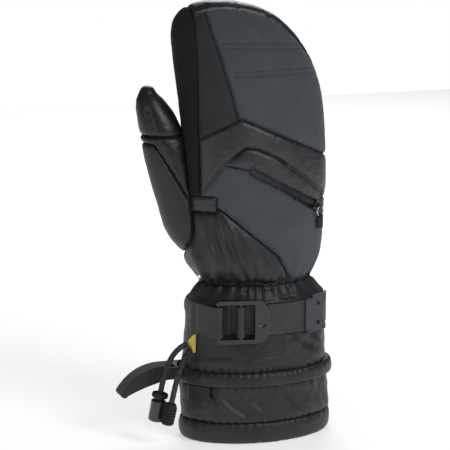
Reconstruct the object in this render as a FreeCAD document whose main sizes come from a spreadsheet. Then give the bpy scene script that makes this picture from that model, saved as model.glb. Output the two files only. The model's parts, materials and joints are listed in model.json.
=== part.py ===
import FreeCAD, Part
import math
import os
import Sketcher

# Ski mitten for the right hand, standing on its cuff.
# +Z runs from the hem to the fingertips, the back of the hand faces -Y and the thumb points to -X.
# The origin is the centre of the cuff opening, on the plane of the hem. Lengths are millimetres.

Vector = FreeCAD.Vector
doc = FreeCAD.newDocument("SkiMitten")

# ---------------------------------------------------------------- driving dimensions

SIZES = [
    ("cuff_height", 128, "hem to the gathered wrist"),
    ("hand_length", 222, "gathered wrist to fingertip"),
    ("hem_half_width", 63, "half the cuff opening, outside, thumb to little finger"),
    ("hem_half_depth", 41, "half the cuff opening, outside, back to palm"),
    ("wrap_half_width", 59, "half the cuff's width under the wrist strap"),
    ("wrap_half_depth", 37, "half the cuff's depth under the wrist strap"),
    ("gather_half_width", 45, "half the width at the elastic wrist"),
    ("gather_half_depth", 29, "half the depth at the elastic wrist"),
    ("palm_half_width", 60, "half the width of the hand"),
    ("palm_half_depth", 34, "half the thickness of the hand"),
    ("finger_curve", 12, "how far the fingertips lean to the palm"),
    ("thumb_length", 143, "thumb base to thumb tip, measured upright"),
    ("thumb_half_width", 20, "half the width of the thumb"),
    ("thumb_reach", 85, "centre line to thumb tip, sideways"),
    ("shell_wall", 2.0, "outer panels"),
    ("insert_wall", 0.8, "waterproof insert"),
    ("insulation_wall", 7.0, "padding in the hand"),
    ("lining_wall", 1.2, "pile lining"),
    ("cuff_shell_wall", 1.5, "gauntlet fabric"),
    ("cuff_padding_wall", 3.0, "padding in the gauntlet"),
    ("running_gap", 0.3, "clearance of anything that moves"),
    ("hem_height", 17, "turned hem"),
    ("band_height", 11.5, "rolled fold round the cuff"),
    ("band_base", 47.5, "hem plane to the rolled fold"),
    ("band_stand", 3.6, "how far the rolled fold stands out"),
    ("elastic_height", 12, "wrist elastic"),
    ("elastic_wall", 1.0, "wrist elastic"),
    ("webbing_width", 25, "wrist strap"),
    ("webbing_wall", 1.6, "wrist strap"),
    ("strap_centre", 102, "hem plane to the middle of the strap"),
    ("buckle_length", 43, "wrist buckle, along the strap"),
    ("buckle_over_webbing", 11, "wrist buckle, its height beyond the webbing's width"),
    ("buckle_wall", 4.0, "wrist buckle thickness"),
    ("buckle_rail", 4.2, "top and bottom rail of the buckle"),
    ("buckle_plate", 12, "lifting plate of the buckle"),
    ("bar_diameter", 4.0, "round bars of the buckle"),
    ("bar_spacing", 17.8, "hinge bar to webbing bar"),
    ("dimple_diameter", 8, "round recess in the lifting plate"),
    ("tail_end_length", 25, "moulded end of the strap"),
    ("zip_width", 4.4, "zip coil"),
    ("zip_wall", 2.4, "zip coil thickness"),
    ("tape_width", 17, "both zip tapes"),
    ("tape_wall", 0.6, "zip tape"),
    ("coil_stand", 0.6, "zip coil above the softshell"),
    ("slider_length", 9, "zip slider"),
    ("slider_width", 7.6, "zip slider"),
    ("slider_wall", 1.4, "zip slider's top plate"),
    ("lug_height", 3.4, "lug on the slider that holds the ring"),
    ("lug_width", 1.6, "lug on the slider that holds the ring"),
    ("ring_diameter", 7, "puller ring, centre of the wire"),
    ("ring_wire", 1.3, "puller ring"),
    ("puller_length", 9, "flat puller under the ring"),
    ("puller_width", 6, "flat puller"),
    ("puller_wall", 1.6, "flat puller"),
    ("pocket_depth", 46, "back pocket, below its zip"),
    ("pocket_wall", 0.8, "cloth of the back pocket"),
    ("pocket_room", 2.6, "room inside the empty back pocket"),
    ("piping_width", 2.2, "piped edge of the knuckle band"),
    ("piping_stand", 1.2, "piped edge of the knuckle band"),
    ("cord_diameter", 4.6, "braided elastic cord"),
    ("tab_wall", 2.0, "yellow cord anchor"),
    ("lock_diameter", 12.6, "cord lock barrel"),
    ("lock_length", 17, "cord lock barrel"),
    ("lock_wall", 1.2, "wall of the barrel's cup"),
    ("lock_floor", 3.0, "floor of the barrel's cup"),
    ("sleeve_wall", 1.0, "sleeve of the cord lock's plunger"),
    ("spring_room", 4.0, "shortest length of the lock's spring"),
    ("spring_wire", 0.7, "wire of the lock's spring"),
    ("spring_turns", 3, "turns of the lock's spring"),
    ("button_travel", 2.5, "press of the cord lock"),
    ("button_rim", 3.6, "ring of the cord lock that is pressed"),
    ("ferrule_diameter", 11, "moulded cord end"),
    ("ferrule_length", 18, "moulded cord end"),
    ("rib_depth", 0.7, "grooves of the moulded cord end"),
    ("rib_pitch", 2.6, "grooves of the moulded cord end"),
    ("pull_width", 17, "soft pull on the side of the cuff"),
    ("pull_wall", 12, "soft pull, thickness at its root"),
    ("pull_reach", 39, "how far the soft pull stands out"),
    ("ear_wall", 2.4, "webbing ears that hold the soft pull"),
    ("pull_roll", 2.0, "radius of the webbing roll that the soft pull turns on"),
]

sheet = doc.addObject("Spreadsheet::Sheet", "Sizes")
for row, (alias, value, meaning) in enumerate(SIZES, start=1):
    sheet.set("A%d" % row, alias)
    sheet.set("B%d" % row, str(value))
    sheet.set("C%d" % row, meaning)
    sheet.setAlias("B%d" % row, alias)
doc.recompute()


class Sizes:
    """The sheet's cells as plain attributes, for the shapes that code works out."""


size = Sizes()
for alias, _, _ in SIZES:
    setattr(size, alias, float(sheet.get(alias)))

SUB_PARTS = []


def keep(label, shape, placement=None):
    """Add a sub-part whose shape is worked out in code from the sheet."""
    feature = doc.addObject("Part::Feature", label)
    feature.Label = label
    feature.Shape = shape
    if placement is not None:
        feature.Placement = placement
    SUB_PARTS.append(feature)
    return shape


def keep_object(label, item):
    """Keep a bound document object as a sub-part."""
    item.Label = label
    SUB_PARTS.append(item)
    return item


def bind(item, **expressions):
    for name, expression in expressions.items():
        item.setExpression(name, expression)


# ---------------------------------------------------------------- the mitten's form

# Ovals of the hand: share of the hand's length, then the index side, the little-finger side and
# the depth as shares of the palm's half width and half depth. The tip leans to the index side.
HAND_OVALS = [
    (0.000, 0.75, 0.75, 0.85),
    (0.030, 0.82, 0.80, 0.92),
    (0.068, 0.94, 0.88, 0.99),
    (0.158, 1.00, 0.93, 1.03),
    (0.300, 1.01, 0.98, 1.03),
    (0.473, 1.01, 0.99, 1.00),
    (0.608, 1.01, 0.97, 0.97),
    (0.725, 1.05, 0.90, 0.91),
    (0.797, 1.08, 0.79, 0.85),
    (0.874, 1.10, 0.60, 0.73),
    (0.928, 1.08, 0.40, 0.59),
    (0.964, 1.01, 0.19, 0.45),
    (0.987, 0.90, -0.04, 0.30),
    (1.000, 0.74, -0.26, 0.17),
]

# Ovals of the thumb: share of its length, share of its sideways reach, share of its half width.
THUMB_OVALS = [
    (0.00, 0.00, 0.78),
    (0.16, 0.20, 1.05),
    (0.33, 0.41, 1.02),
    (0.52, 0.59, 0.96),
    (0.75, 0.77, 0.88),
    (0.86, 0.87, 0.72),
    (0.94, 0.96, 0.50),
    (1.00, 1.00, 0.20),
]
THUMB_BASE_SIDE = 36
THUMB_BASE_RISE = 12
THUMB_BASE_TO_PALM = 5
THUMB_TIP_TO_PALM = 15
THUMB_FLATNESS = 0.95


def oval(z, left, right, half_depth, to_palm=0.0):
    """A level ellipse from the x of its index side to the x of its little-finger side."""
    centre = Vector((left + right) / 2, to_palm, z)
    ellipse = Part.Ellipse(centre, (right - left) / 2, half_depth)
    return Part.Wire(ellipse.toShape())


def hand_form(inset):
    """The hand's solid, drawn in by an inset: every inner layer is the same form, scaled."""
    across = 1 - inset / size.palm_half_width
    through = 1 - inset / size.palm_half_depth
    along = 1 - inset / size.hand_length
    wires = []
    for share, index_side, outer_side, depth in HAND_OVALS:
        z = size.cuff_height + share * size.hand_length * along
        left = -index_side * size.palm_half_width * across
        right = outer_side * size.palm_half_width * across
        half_depth = depth * size.palm_half_depth * through
        wires.append(oval(z, left, right, half_depth, size.finger_curve * share**2 * through))
    return Part.makeLoft(wires, True, False)


def thumb_form(inset):
    """The thumb's solid, drawn in by an inset about its base."""
    shrink = 1 - inset / size.thumb_half_width
    along = 1 - inset / size.thumb_length
    base = size.cuff_height + THUMB_BASE_RISE
    wires = []
    for share, sideways, width in THUMB_OVALS:
        reach = THUMB_BASE_SIDE + (size.thumb_reach - THUMB_BASE_SIDE) * sideways * along
        half = size.thumb_half_width * width * shrink
        to_palm = THUMB_BASE_TO_PALM + (THUMB_TIP_TO_PALM - THUMB_BASE_TO_PALM) * share
        z = base + share * size.thumb_length * along
        wires.append(oval(z, -reach - half, -reach + half, half * THUMB_FLATNESS, to_palm))
    return Part.makeLoft(wires, True, False)


def cuff_ovals():
    """The gauntlet's levels: flared hem, straight wrap for the strap, gathered wrist."""
    wrap_low = size.strap_centre - 0.68 * size.webbing_width
    wrap_high = size.strap_centre + 0.52 * size.webbing_width
    return [
        (0.0, size.hem_half_width, size.hem_half_depth),
        (size.band_base, size.hem_half_width - 0.5, size.hem_half_depth - 1.0),
        (wrap_low, size.wrap_half_width, size.wrap_half_depth),
        (wrap_high, size.wrap_half_width, size.wrap_half_depth),
        (size.cuff_height, size.gather_half_width, size.gather_half_depth),
    ]


def cuff_form(offset):
    """The gauntlet's solid, grown by an offset; a negative one draws it in."""
    wires = []
    for z, half_width, half_depth in cuff_ovals():
        wires.append(oval(z, -half_width - offset, half_width + offset, half_depth + offset))
    return Part.makeLoft(wires, True, True)


# Beyond the mitten on every side, and above its fingertips.
FAR = 200
SKY = 420


def slab(z_low, z_high):
    """Everything between two levels."""
    return Part.makeBox(2 * FAR, 2 * FAR, z_high - z_low, Vector(-FAR, -FAR, z_low))


def block(x, y, z):
    """A box from three (low, high) pairs."""
    return Part.makeBox(x[1] - x[0], y[1] - y[0], z[1] - z[0], Vector(x[0], y[0], z[0]))


def front_prism(outline, y_low=-FAR, y_high=0.0):
    """A prism along Y over an outline of (x, z) points."""
    corners = [Vector(x, y_low, z) for x, z in outline]
    wire = Part.makePolygon(corners + [corners[0]])
    return Part.Face(wire).extrude(Vector(0, y_high - y_low, 0))


def plan_prism(outline, z_low, z_high):
    """A prism along Z over an outline of (x, y) points."""
    corners = [Vector(x, y, z_low) for x, y in outline]
    wire = Part.makePolygon(corners + [corners[0]])
    return Part.Face(wire).extrude(Vector(0, 0, z_high - z_low))


wrist_z = size.cuff_height

insert_inset = size.shell_wall
insulation_inset = insert_inset + size.insert_wall
lining_inset = insulation_inset + size.insulation_wall
cavity_inset = lining_inset + size.lining_wall

hand = {}
thumb = {}
body = {}
for inset in (0.0, insert_inset, insulation_inset, lining_inset, cavity_inset):
    hand[inset] = hand_form(inset)
    thumb[inset] = thumb_form(inset)
    body[inset] = hand[inset].fuse(thumb[inset])

# ---------------------------------------------------------------- seam lines on the back of the hand


def hand_height(share):
    """A level on the hand, as a share of its length above the wrist."""
    return wrist_z + share * size.hand_length


def hand_across(share):
    return share * size.palm_half_width


def seam(points):
    """Points given as shares of the hand's half width and length, in millimetres."""
    return [(hand_across(across), hand_height(up)) for across, up in points]


PAST_EDGE = 1.7
STRIP_EDGE = -0.87
PATCH_EDGE = -0.683

band_top = seam([(STRIP_EDGE, 0.531), (-0.35, 0.604), (PAST_EDGE, 0.355)])
band_bottom = seam([
    (STRIP_EDGE, 0.328), (-0.59, 0.440), (-0.30, 0.501), (-0.12, 0.492),
    (0.13, 0.459), (0.54, 0.383), (0.84, 0.318), (PAST_EDGE, 0.100),
])
index_seam = seam([(-0.39, 0.598), (-0.48, 0.707), (-0.61, 0.842), (-0.67, 0.905), (-0.75, 1.05)])
wrist_seam = seam([(STRIP_EDGE, 0.328), (-0.59, 0.272), (-0.24, 0.189), (0.13, 0.107), (0.40, -0.02)])
zip_start, zip_end = seam([(-0.245, 0.417), (0.81, 0.262)])
zip_centre = ((zip_start[0] + zip_end[0]) / 2, (zip_start[1] + zip_end[1]) / 2)
patch_low = hand_height(0.270)
patch_high = hand_height(0.328)
palm_low = hand_height(0.11)

# ---------------------------------------------------------------- the zip's arc

zip_run = Vector(zip_end[0] - zip_start[0], 0, zip_end[1] - zip_start[1])
zip_chord = zip_run.Length
zip_along = Vector(zip_run).normalize()
zip_axis = zip_along.cross(Vector(0, 1, 0)).normalize()


def surface_y(x, z):
    """Where a line along Y at (x, z) meets the back of the hand."""
    line = Part.makeLine(Vector(x, -FAR, z), Vector(x, 0, z))
    return line.common(hand[0.0]).BoundBox.YMin


def arc_through(first, middle, last):
    """Centre and radius of the circle through three (run, y) points."""
    ax, ay = first
    bx, by = middle
    cx, cy = last
    turn = 2 * (ax * (by - cy) + bx * (cy - ay) + cx * (ay - by))
    a2, b2, c2 = ax * ax + ay * ay, bx * bx + by * by, cx * cx + cy * cy
    u = (a2 * (by - cy) + b2 * (cy - ay) + c2 * (ay - by)) / turn
    v = (a2 * (cx - bx) + b2 * (ax - cx) + c2 * (bx - ax)) / turn
    return u, v, math.hypot(ax - u, ay - v)


zip_samples = []
for share in (0.0, 0.5, 1.0):
    x = zip_start[0] + share * zip_run.x
    z = zip_start[1] + share * zip_run.z
    zip_samples.append((share * zip_chord, surface_y(x, z)))
arc_run, arc_y, zip_radius = arc_through(*zip_samples)
zip_pivot = Vector(zip_start[0], 0, zip_start[1]) + zip_along * arc_run + Vector(0, arc_y, 0)
arc_first = math.degrees(math.asin((0.0 - arc_run) / zip_radius))
arc_last = math.degrees(math.asin((zip_chord - arc_run) / zip_radius))


def zip_frame(angle):
    """A frame on the zip's arc: X along the chain, Y across it, Z outward, origin at the pivot."""
    outward = zip_along * math.sin(math.radians(angle)) - Vector(0, math.cos(math.radians(angle)), 0)
    along = zip_along * math.cos(math.radians(angle)) + Vector(0, math.sin(math.radians(angle)), 0)
    across = outward.cross(along)
    return FreeCAD.Matrix(
        along.x, across.x, outward.x, zip_pivot.x,
        along.y, across.y, outward.y, zip_pivot.y,
        along.z, across.z, outward.z, zip_pivot.z,
        0, 0, 0, 1,
    )


def zip_sector(inner, outer, width, margin=0.0):
    """A bar bent along the zip's arc, from one radius to another."""
    first = arc_first - math.degrees(margin / zip_radius)
    last = arc_last + math.degrees(margin / zip_radius)
    corners = [
        Vector(0, -width / 2, inner), Vector(0, width / 2, inner),
        Vector(0, width / 2, outer), Vector(0, -width / 2, outer),
    ]
    face = Part.Face(Part.makePolygon(corners + [corners[0]]))
    face = face.transformGeometry(FreeCAD.Placement(zip_frame(first)).toMatrix())
    probe = Part.Vertex(FreeCAD.Placement(zip_frame(first)).multVec(Vector(0, 0, inner)))
    target = FreeCAD.Placement(zip_frame(last)).multVec(Vector(0, 0, inner))
    for axis in (zip_axis, zip_axis * -1):
        moved = probe.copy()
        moved.rotate(zip_pivot, axis, last - first)
        if moved.Point.distanceToPoint(target) < 0.01:
            return face.revolve(zip_pivot, axis, last - first)
    raise ValueError("the zip's arc has no direction")


gap = size.running_gap
SLIDER_SINK = 0.4
groove_radius = zip_radius - SLIDER_SINK
chain_top = zip_radius + size.coil_stand
chain_bottom = chain_top - size.zip_wall
tape_bottom = chain_bottom - size.tape_wall
zip_chain = zip_sector(chain_bottom, chain_top, size.zip_width)
TAPE_PAST_CHAIN = 2.0
SLIDER_SIDE_ROOM = 1.0
SLIDER_END_ROOM = 7.0
through_cloth = zip_radius + size.slider_length
zip_tape = zip_sector(tape_bottom, chain_bottom, size.tape_width, TAPE_PAST_CHAIN)
zip_slot = zip_sector(chain_bottom - size.slider_wall, through_cloth, size.zip_width)
slider_path = zip_sector(
    groove_radius, through_cloth, size.slider_width + 2 * SLIDER_SIDE_ROOM, SLIDER_END_ROOM,
)

# ---------------------------------------------------------------- pocket behind the zip

BAG_CLEAR = 0.2
BAG_SEAM = 2.5
BAG_PAST_ZIP = 1.0
BAG_ABOVE_ZIP = 6.0
down = Vector(zip_axis) if zip_axis.z < 0 else zip_axis * -1


def pocket_outline(margin):
    """The pocket's outline under the zip, grown by a margin."""
    reach = Vector(zip_along) * (zip_chord / 2 + BAG_PAST_ZIP + margin)
    middle = Vector(zip_centre[0], 0, zip_centre[1])
    top = middle - down * (BAG_ABOVE_ZIP + margin)
    low = middle + down * (size.pocket_depth + margin)
    points = [top - reach, top + reach, low + reach * 0.45, low - reach * 0.8]
    return [(point.x, point.z) for point in points]


bag_front_inset = insert_inset + BAG_CLEAR
room_front_inset = bag_front_inset + size.pocket_wall
room_back_inset = room_front_inset + size.pocket_room
bag_back_inset = room_back_inset + size.pocket_wall
bag_block = hand_form(bag_front_inset).cut(hand_form(bag_back_inset))
bag_block = bag_block.common(front_prism(pocket_outline(0)))
bag_room = hand_form(room_front_inset).cut(hand_form(room_back_inset))
bag_room = bag_room.common(front_prism(pocket_outline(-BAG_SEAM)))
pocket_bag = bag_block.cut(bag_room).cut(zip_slot).cut(zip_tape)

# ---------------------------------------------------------------- outer panels of the hand

hand_shell = hand[0.0].cut(hand[insert_inset]).cut(thumb[insert_inset])
for cutter in (slider_path, zip_slot, zip_tape):
    hand_shell = hand_shell.cut(cutter)
elastic_block = hand_form(size.shell_wall - size.elastic_wall)
elastic_top = wrist_z + size.elastic_height / 2
elastic_low = wrist_z - size.elastic_height / 2
hand_shell = hand_shell.cut(elastic_block.common(slab(elastic_low, elastic_top)))

strip_x = hand_across(STRIP_EDGE)
patch_x = hand_across(PATCH_EDGE)
below_hand = wrist_z - size.elastic_height
strip_region = block((-FAR, strip_x), (-FAR, FAR), (patch_high, SKY))
patch_region = block((-FAR, patch_x), (-FAR, 0), (patch_low, patch_high))
index_region = front_prism([band_top[0], *index_seam, (strip_x, SKY)])
back_region = front_prism([
    *index_seam[:1], *band_top[1:], (band_top[-1][0], SKY), (index_seam[-1][0], SKY), *index_seam[:0:-1],
])
knuckle_region = front_prism([*band_top, *band_bottom[::-1]])
facing_region = front_prism([*band_bottom[1:7], zip_end, zip_start])
pocket_region = front_prism([
    *band_bottom[:2], zip_start, zip_end, *band_bottom[6:], (band_bottom[-1][0], below_hand),
    *wrist_seam[:0:-1],
])
palm_region = block((strip_x, FAR), (0, FAR), (palm_low, SKY))
palm_region = palm_region.fuse(block((-FAR, strip_x), (0, FAR), (palm_low, patch_high)))


def panel(region, already):
    """The part of the hand's shell in a region, less what earlier panels took."""
    piece = hand_shell.common(region)
    if already is not None:
        piece = piece.cut(already)
    return piece


PANELS = [
    ("side_strip", strip_region),
    ("crotch_patch", patch_region),
    ("index_panel", index_region),
    ("back_panel", back_region),
    ("knuckle_band", knuckle_region),
    ("zip_facing", facing_region),
    ("pocket_panel", pocket_region),
    ("palm_leather", palm_region),
]
taken = None
panel_shapes = {}
for label, region in PANELS:
    panel_shapes[label] = panel(region, taken)
    taken = region if taken is None else taken.fuse(region)
panel_shapes["wrist_nylon"] = hand_shell.cut(taken)


def largest_solids(shape, least=20.0):
    """The solids of a shape without the slivers that a boolean leaves."""
    solids = [solid for solid in shape.Solids if solid.Volume > least]
    return solids[0] if len(solids) == 1 else Part.makeCompound(solids)


for label, shape in panel_shapes.items():
    keep(label, largest_solids(shape))

thumb_shell = thumb[0.0].cut(thumb[insert_inset]).cut(hand[0.0])
cap_z = wrist_z + THUMB_BASE_RISE + 0.750 * size.thumb_length
gusset_high = wrist_z + THUMB_BASE_RISE + 0.705 * size.thumb_length
gusset_low = wrist_z + THUMB_BASE_RISE + 0.410 * size.thumb_length
cap_region = slab(cap_z, SKY)
gusset_region = front_prism([
    (-FAR, gusset_high), (-size.thumb_reach, gusset_high), (-size.palm_half_width, gusset_low),
    (-size.palm_half_width / 2, gusset_low - size.palm_half_width / 2),
    (-size.palm_half_width / 2, below_hand), (-FAR, below_hand),
], -FAR, FAR)
keep("thumb_cap", largest_solids(thumb_shell.common(cap_region)))
keep("thumb_gusset", largest_solids(thumb_shell.common(gusset_region).cut(cap_region)))
keep("thumb_leather", largest_solids(thumb_shell.cut(gusset_region).cut(cap_region)))

# Piping along the lower edge of the knuckle band.
piping_skin = hand_form(-size.piping_stand).cut(hand[0.0])
piping_low = [(x, z - size.piping_width) for x, z in band_bottom]
piping_region = front_prism(band_bottom + list(reversed(piping_low)))
piping = piping_skin.common(piping_region).cut(strip_region).cut(thumb[0.0]).cut(slider_path)
keep("knuckle_piping", largest_solids(piping, 2.0))

# ---------------------------------------------------------------- inner layers of the hand

insert = body[insert_inset].cut(body[insulation_inset]).cut(pocket_bag).cut(bag_block)
insert = insert.cut(zip_tape).cut(zip_slot)
insulation = body[insulation_inset].cut(body[lining_inset]).cut(bag_block)
insulation = insulation.cut(zip_tape).cut(zip_slot)
lining = body[lining_inset].cut(body[cavity_inset])
keep("waterproof_insert", largest_solids(insert))


def back_half(outline):
    """Everything on the back of the hand's side of a seam plane, given as (y, z) points going up."""
    (low_y, low_z), (high_y, high_z) = outline[0], outline[-1]
    corners = [(-FAR, low_z), (low_y, low_z), *outline[1:], (-FAR, high_z)]
    corners = [Vector(-FAR, y, z) for y, z in corners]
    return Part.Face(Part.makePolygon(corners + [corners[0]])).extrude(Vector(2 * FAR, 0, 0))


# The wadding is cut like the shell: a back and a palm piece for the hand, and for the thumb.
hand_seam = [
    (0, 0), (0, wrist_z), (size.finger_curve / 4, hand_height(0.5)), (size.finger_curve, hand_height(1)),
    (size.finger_curve, hand_height(2)),
]
thumb_base_z = wrist_z + THUMB_BASE_RISE
thumb_seam = [
    (THUMB_BASE_TO_PALM, 0), (THUMB_BASE_TO_PALM, thumb_base_z),
    (THUMB_TIP_TO_PALM, thumb_base_z + size.thumb_length), (THUMB_TIP_TO_PALM, hand_height(2)),
]
hand_wadding = insulation.common(hand[insulation_inset])
thumb_wadding = insulation.cut(hand[insulation_inset])
hand_back = back_half(hand_seam)
thumb_back = back_half(thumb_seam)
keep("back_insulation", largest_solids(hand_wadding.common(hand_back)))
keep("palm_insulation", largest_solids(hand_wadding.cut(hand_back)))
keep("thumb_back_insulation", largest_solids(thumb_wadding.common(thumb_back)))
keep("thumb_palm_insulation", largest_solids(thumb_wadding.cut(thumb_back)))
keep("hand_lining", largest_solids(lining))
keep("pocket_bag", largest_solids(pocket_bag))
keep("zip_chain", zip_chain)
keep("zip_tape", zip_tape)

# ---------------------------------------------------------------- cuff

hem_z = size.hem_height
cuff_outer = cuff_form(0)
cuff_shell_inner = cuff_form(-size.cuff_shell_wall)
cuff_padding_inner = cuff_form(-size.cuff_shell_wall - size.cuff_padding_wall)
cuff_inner = cuff_form(-size.cuff_shell_wall - size.cuff_padding_wall - size.lining_wall)
above_hem = slab(hem_z, wrist_z + 1)
elastic_outer = cuff_form(size.elastic_wall - size.shell_wall)
elastic_inner = cuff_form(-size.shell_wall)
cuff_elastic = elastic_outer.cut(elastic_inner).common(slab(elastic_low, wrist_z))
hand_elastic = elastic_block.cut(hand[insert_inset]).common(slab(wrist_z, elastic_top))
keep("wrist_elastic", largest_solids(cuff_elastic.fuse(hand_elastic)))

FOLD_WALL = 0.6
FOLD_EDGE = 1.0
band_top_z = size.band_base + size.band_height
channel_low = size.band_base + FOLD_EDGE
channel_high = band_top_z - FOLD_EDGE
fold_outer = cuff_form(size.band_stand).common(slab(size.band_base, band_top_z))
cord_ring = cuff_form(size.band_stand - FOLD_WALL).cut(cuff_form(FOLD_WALL))
fold_room = cord_ring.common(slab(channel_low, channel_high))
keep("fold_band", largest_solids(fold_outer.cut(cuff_outer).cut(fold_room)))
cord_slab = slab(channel_low + FOLD_EDGE, channel_high - FOLD_EDGE)
keep("cuff_drawcord", largest_solids(cord_ring.common(cord_slab)))

gauntlet = cuff_outer.cut(cuff_shell_inner).common(above_hem).cut(cuff_elastic)
keep("gauntlet", largest_solids(gauntlet))
padding = cuff_shell_inner.cut(cuff_padding_inner).common(above_hem).cut(cuff_elastic)
neck_slab = slab(cuff_ovals()[3][0], wrist_z)
padding_back = block((-FAR, FAR), (-FAR, 0), (0, wrist_z))
keep("neck_insulation", largest_solids(padding.common(neck_slab)))
keep("cuff_back_insulation", largest_solids(padding.cut(neck_slab).common(padding_back)))
keep("cuff_palm_insulation", largest_solids(padding.cut(neck_slab).cut(padding_back)))
keep("cuff_lining", largest_solids(cuff_padding_inner.cut(cuff_inner).common(above_hem)))
keep("hem_band", largest_solids(cuff_outer.cut(cuff_inner).common(slab(0, hem_z))))

# ---------------------------------------------------------------- wrist strap

strap_low = size.strap_centre - size.webbing_width / 2
strap_high = size.strap_centre + size.webbing_width / 2
strap_slab = slab(strap_low, strap_high)
bar_radius = size.bar_diameter / 2


def cuff_y(x, offset=0.0):
    """Y of the strap's wrap at x on the back of the wrist."""
    half_width = size.wrap_half_width + offset
    return -(size.wrap_half_depth + offset) * math.sqrt(1 - (x / half_width) ** 2)


# The buckle's plane: it clears the webbing rolled round its middle bar, and slopes to the left bar.
BUCKLE_TURN = 13.4
BUCKLE_CLEAR = 0.4
hinge_x = -0.733 * size.wrap_half_width
middle_x = hinge_x + size.bar_spacing * math.cos(math.radians(BUCKLE_TURN))
roll_radius = bar_radius + gap + size.webbing_wall
middle_y = cuff_y(middle_x) - roll_radius - size.webbing_wall - BUCKLE_CLEAR
hinge_y = middle_y + size.bar_spacing * math.sin(math.radians(BUCKLE_TURN))
hinge_point = Vector(hinge_x, hinge_y, size.strap_centre)
buckle_along = Vector(math.cos(math.radians(BUCKLE_TURN)), -math.sin(math.radians(BUCKLE_TURN)), 0)
buckle_out = buckle_along.cross(Vector(0, 0, 1))
buckle_frame = FreeCAD.Placement(FreeCAD.Matrix(
    buckle_along.x, 0, buckle_out.x, hinge_point.x,
    buckle_along.y, 0, buckle_out.y, hinge_point.y,
    buckle_along.z, 1, buckle_out.z, hinge_point.z,
    0, 0, 0, 1,
))


def origin_plane(owner, role):
    for feature in owner.Origin.OriginFeatures:
        if feature.Role == role:
            return feature
    raise ValueError("no plane " + role)


def new_sketch(owner, name, role="XY_Plane"):
    sketch = owner.newObject("Sketcher::SketchObject", name)
    sketch.AttachmentSupport = [(origin_plane(owner, role), "")]
    sketch.MapMode = "FlatFace"
    return sketch


def add_rectangle(sketch, left, low, width, height):
    """A rectangle with its corner and sides bound to expressions."""
    numbers = [sketch.evalExpression(text) for text in (left, low, width, height)]
    x0, y0, dx, dy = [float(number) for number in numbers]
    corners = [Vector(x0, y0, 0), Vector(x0 + dx, y0, 0), Vector(x0 + dx, y0 + dy, 0), Vector(x0, y0 + dy, 0)]
    first = sketch.GeometryCount
    for index in range(4):
        sketch.addGeometry(Part.LineSegment(corners[index], corners[(index + 1) % 4]), False)
    for index in range(4):
        sketch.addConstraint(Sketcher.Constraint("Coincident", first + index, 2, first + (index + 1) % 4, 1))
    for index in (0, 2):
        sketch.addConstraint(Sketcher.Constraint("Horizontal", first + index))
    for index in (1, 3):
        sketch.addConstraint(Sketcher.Constraint("Vertical", first + index))
    driven = [
        (Sketcher.Constraint("DistanceX", -1, 1, first, 1, x0), left),
        (Sketcher.Constraint("DistanceY", -1, 1, first, 1, y0), low),
        (Sketcher.Constraint("DistanceX", first, 1, first, 2, dx), width),
        (Sketcher.Constraint("DistanceY", first + 1, 1, first + 1, 2, dy), height),
    ]
    for constraint, expression in driven:
        index = sketch.addConstraint(constraint)
        sketch.setExpression("Constraints[%d]" % index, expression)


def add_circle(sketch, across, up, radius):
    """A circle with its centre and radius bound to expressions."""
    x, y, r = [float(sketch.evalExpression(text)) for text in (across, up, radius)]
    index = sketch.addGeometry(Part.Circle(Vector(x, y, 0), Vector(0, 0, 1), r), False)
    driven = [(Sketcher.Constraint("Radius", index, r), radius)]
    if x == 0 and y == 0:
        sketch.addConstraint(Sketcher.Constraint("Coincident", index, 3, -1, 1))
    else:
        driven.append((Sketcher.Constraint("DistanceX", -1, 1, index, 3, x), across))
        driven.append((Sketcher.Constraint("DistanceY", -1, 1, index, 3, y), up))
    for constraint, expression in driven:
        number = sketch.addConstraint(constraint)
        sketch.setExpression("Constraints[%d]" % number, expression)


def edges_where(shape, test):
    """Names of the straight edges whose middle and direction pass a test."""
    names = []
    for number, edge in enumerate(shape.Edges, start=1):
        if edge.Curve.TypeId != "Part::GeomLine":
            continue
        direction = edge.Vertexes[-1].Point.sub(edge.Vertexes[0].Point).normalize()
        if test(edge.CenterOfMass, direction):
            names.append("Edge%d" % number)
    return names


BUCKLE_HEIGHT = "Sizes.webbing_width + Sizes.buckle_over_webbing"
DIMPLE_DEPTH = 0.6


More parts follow.
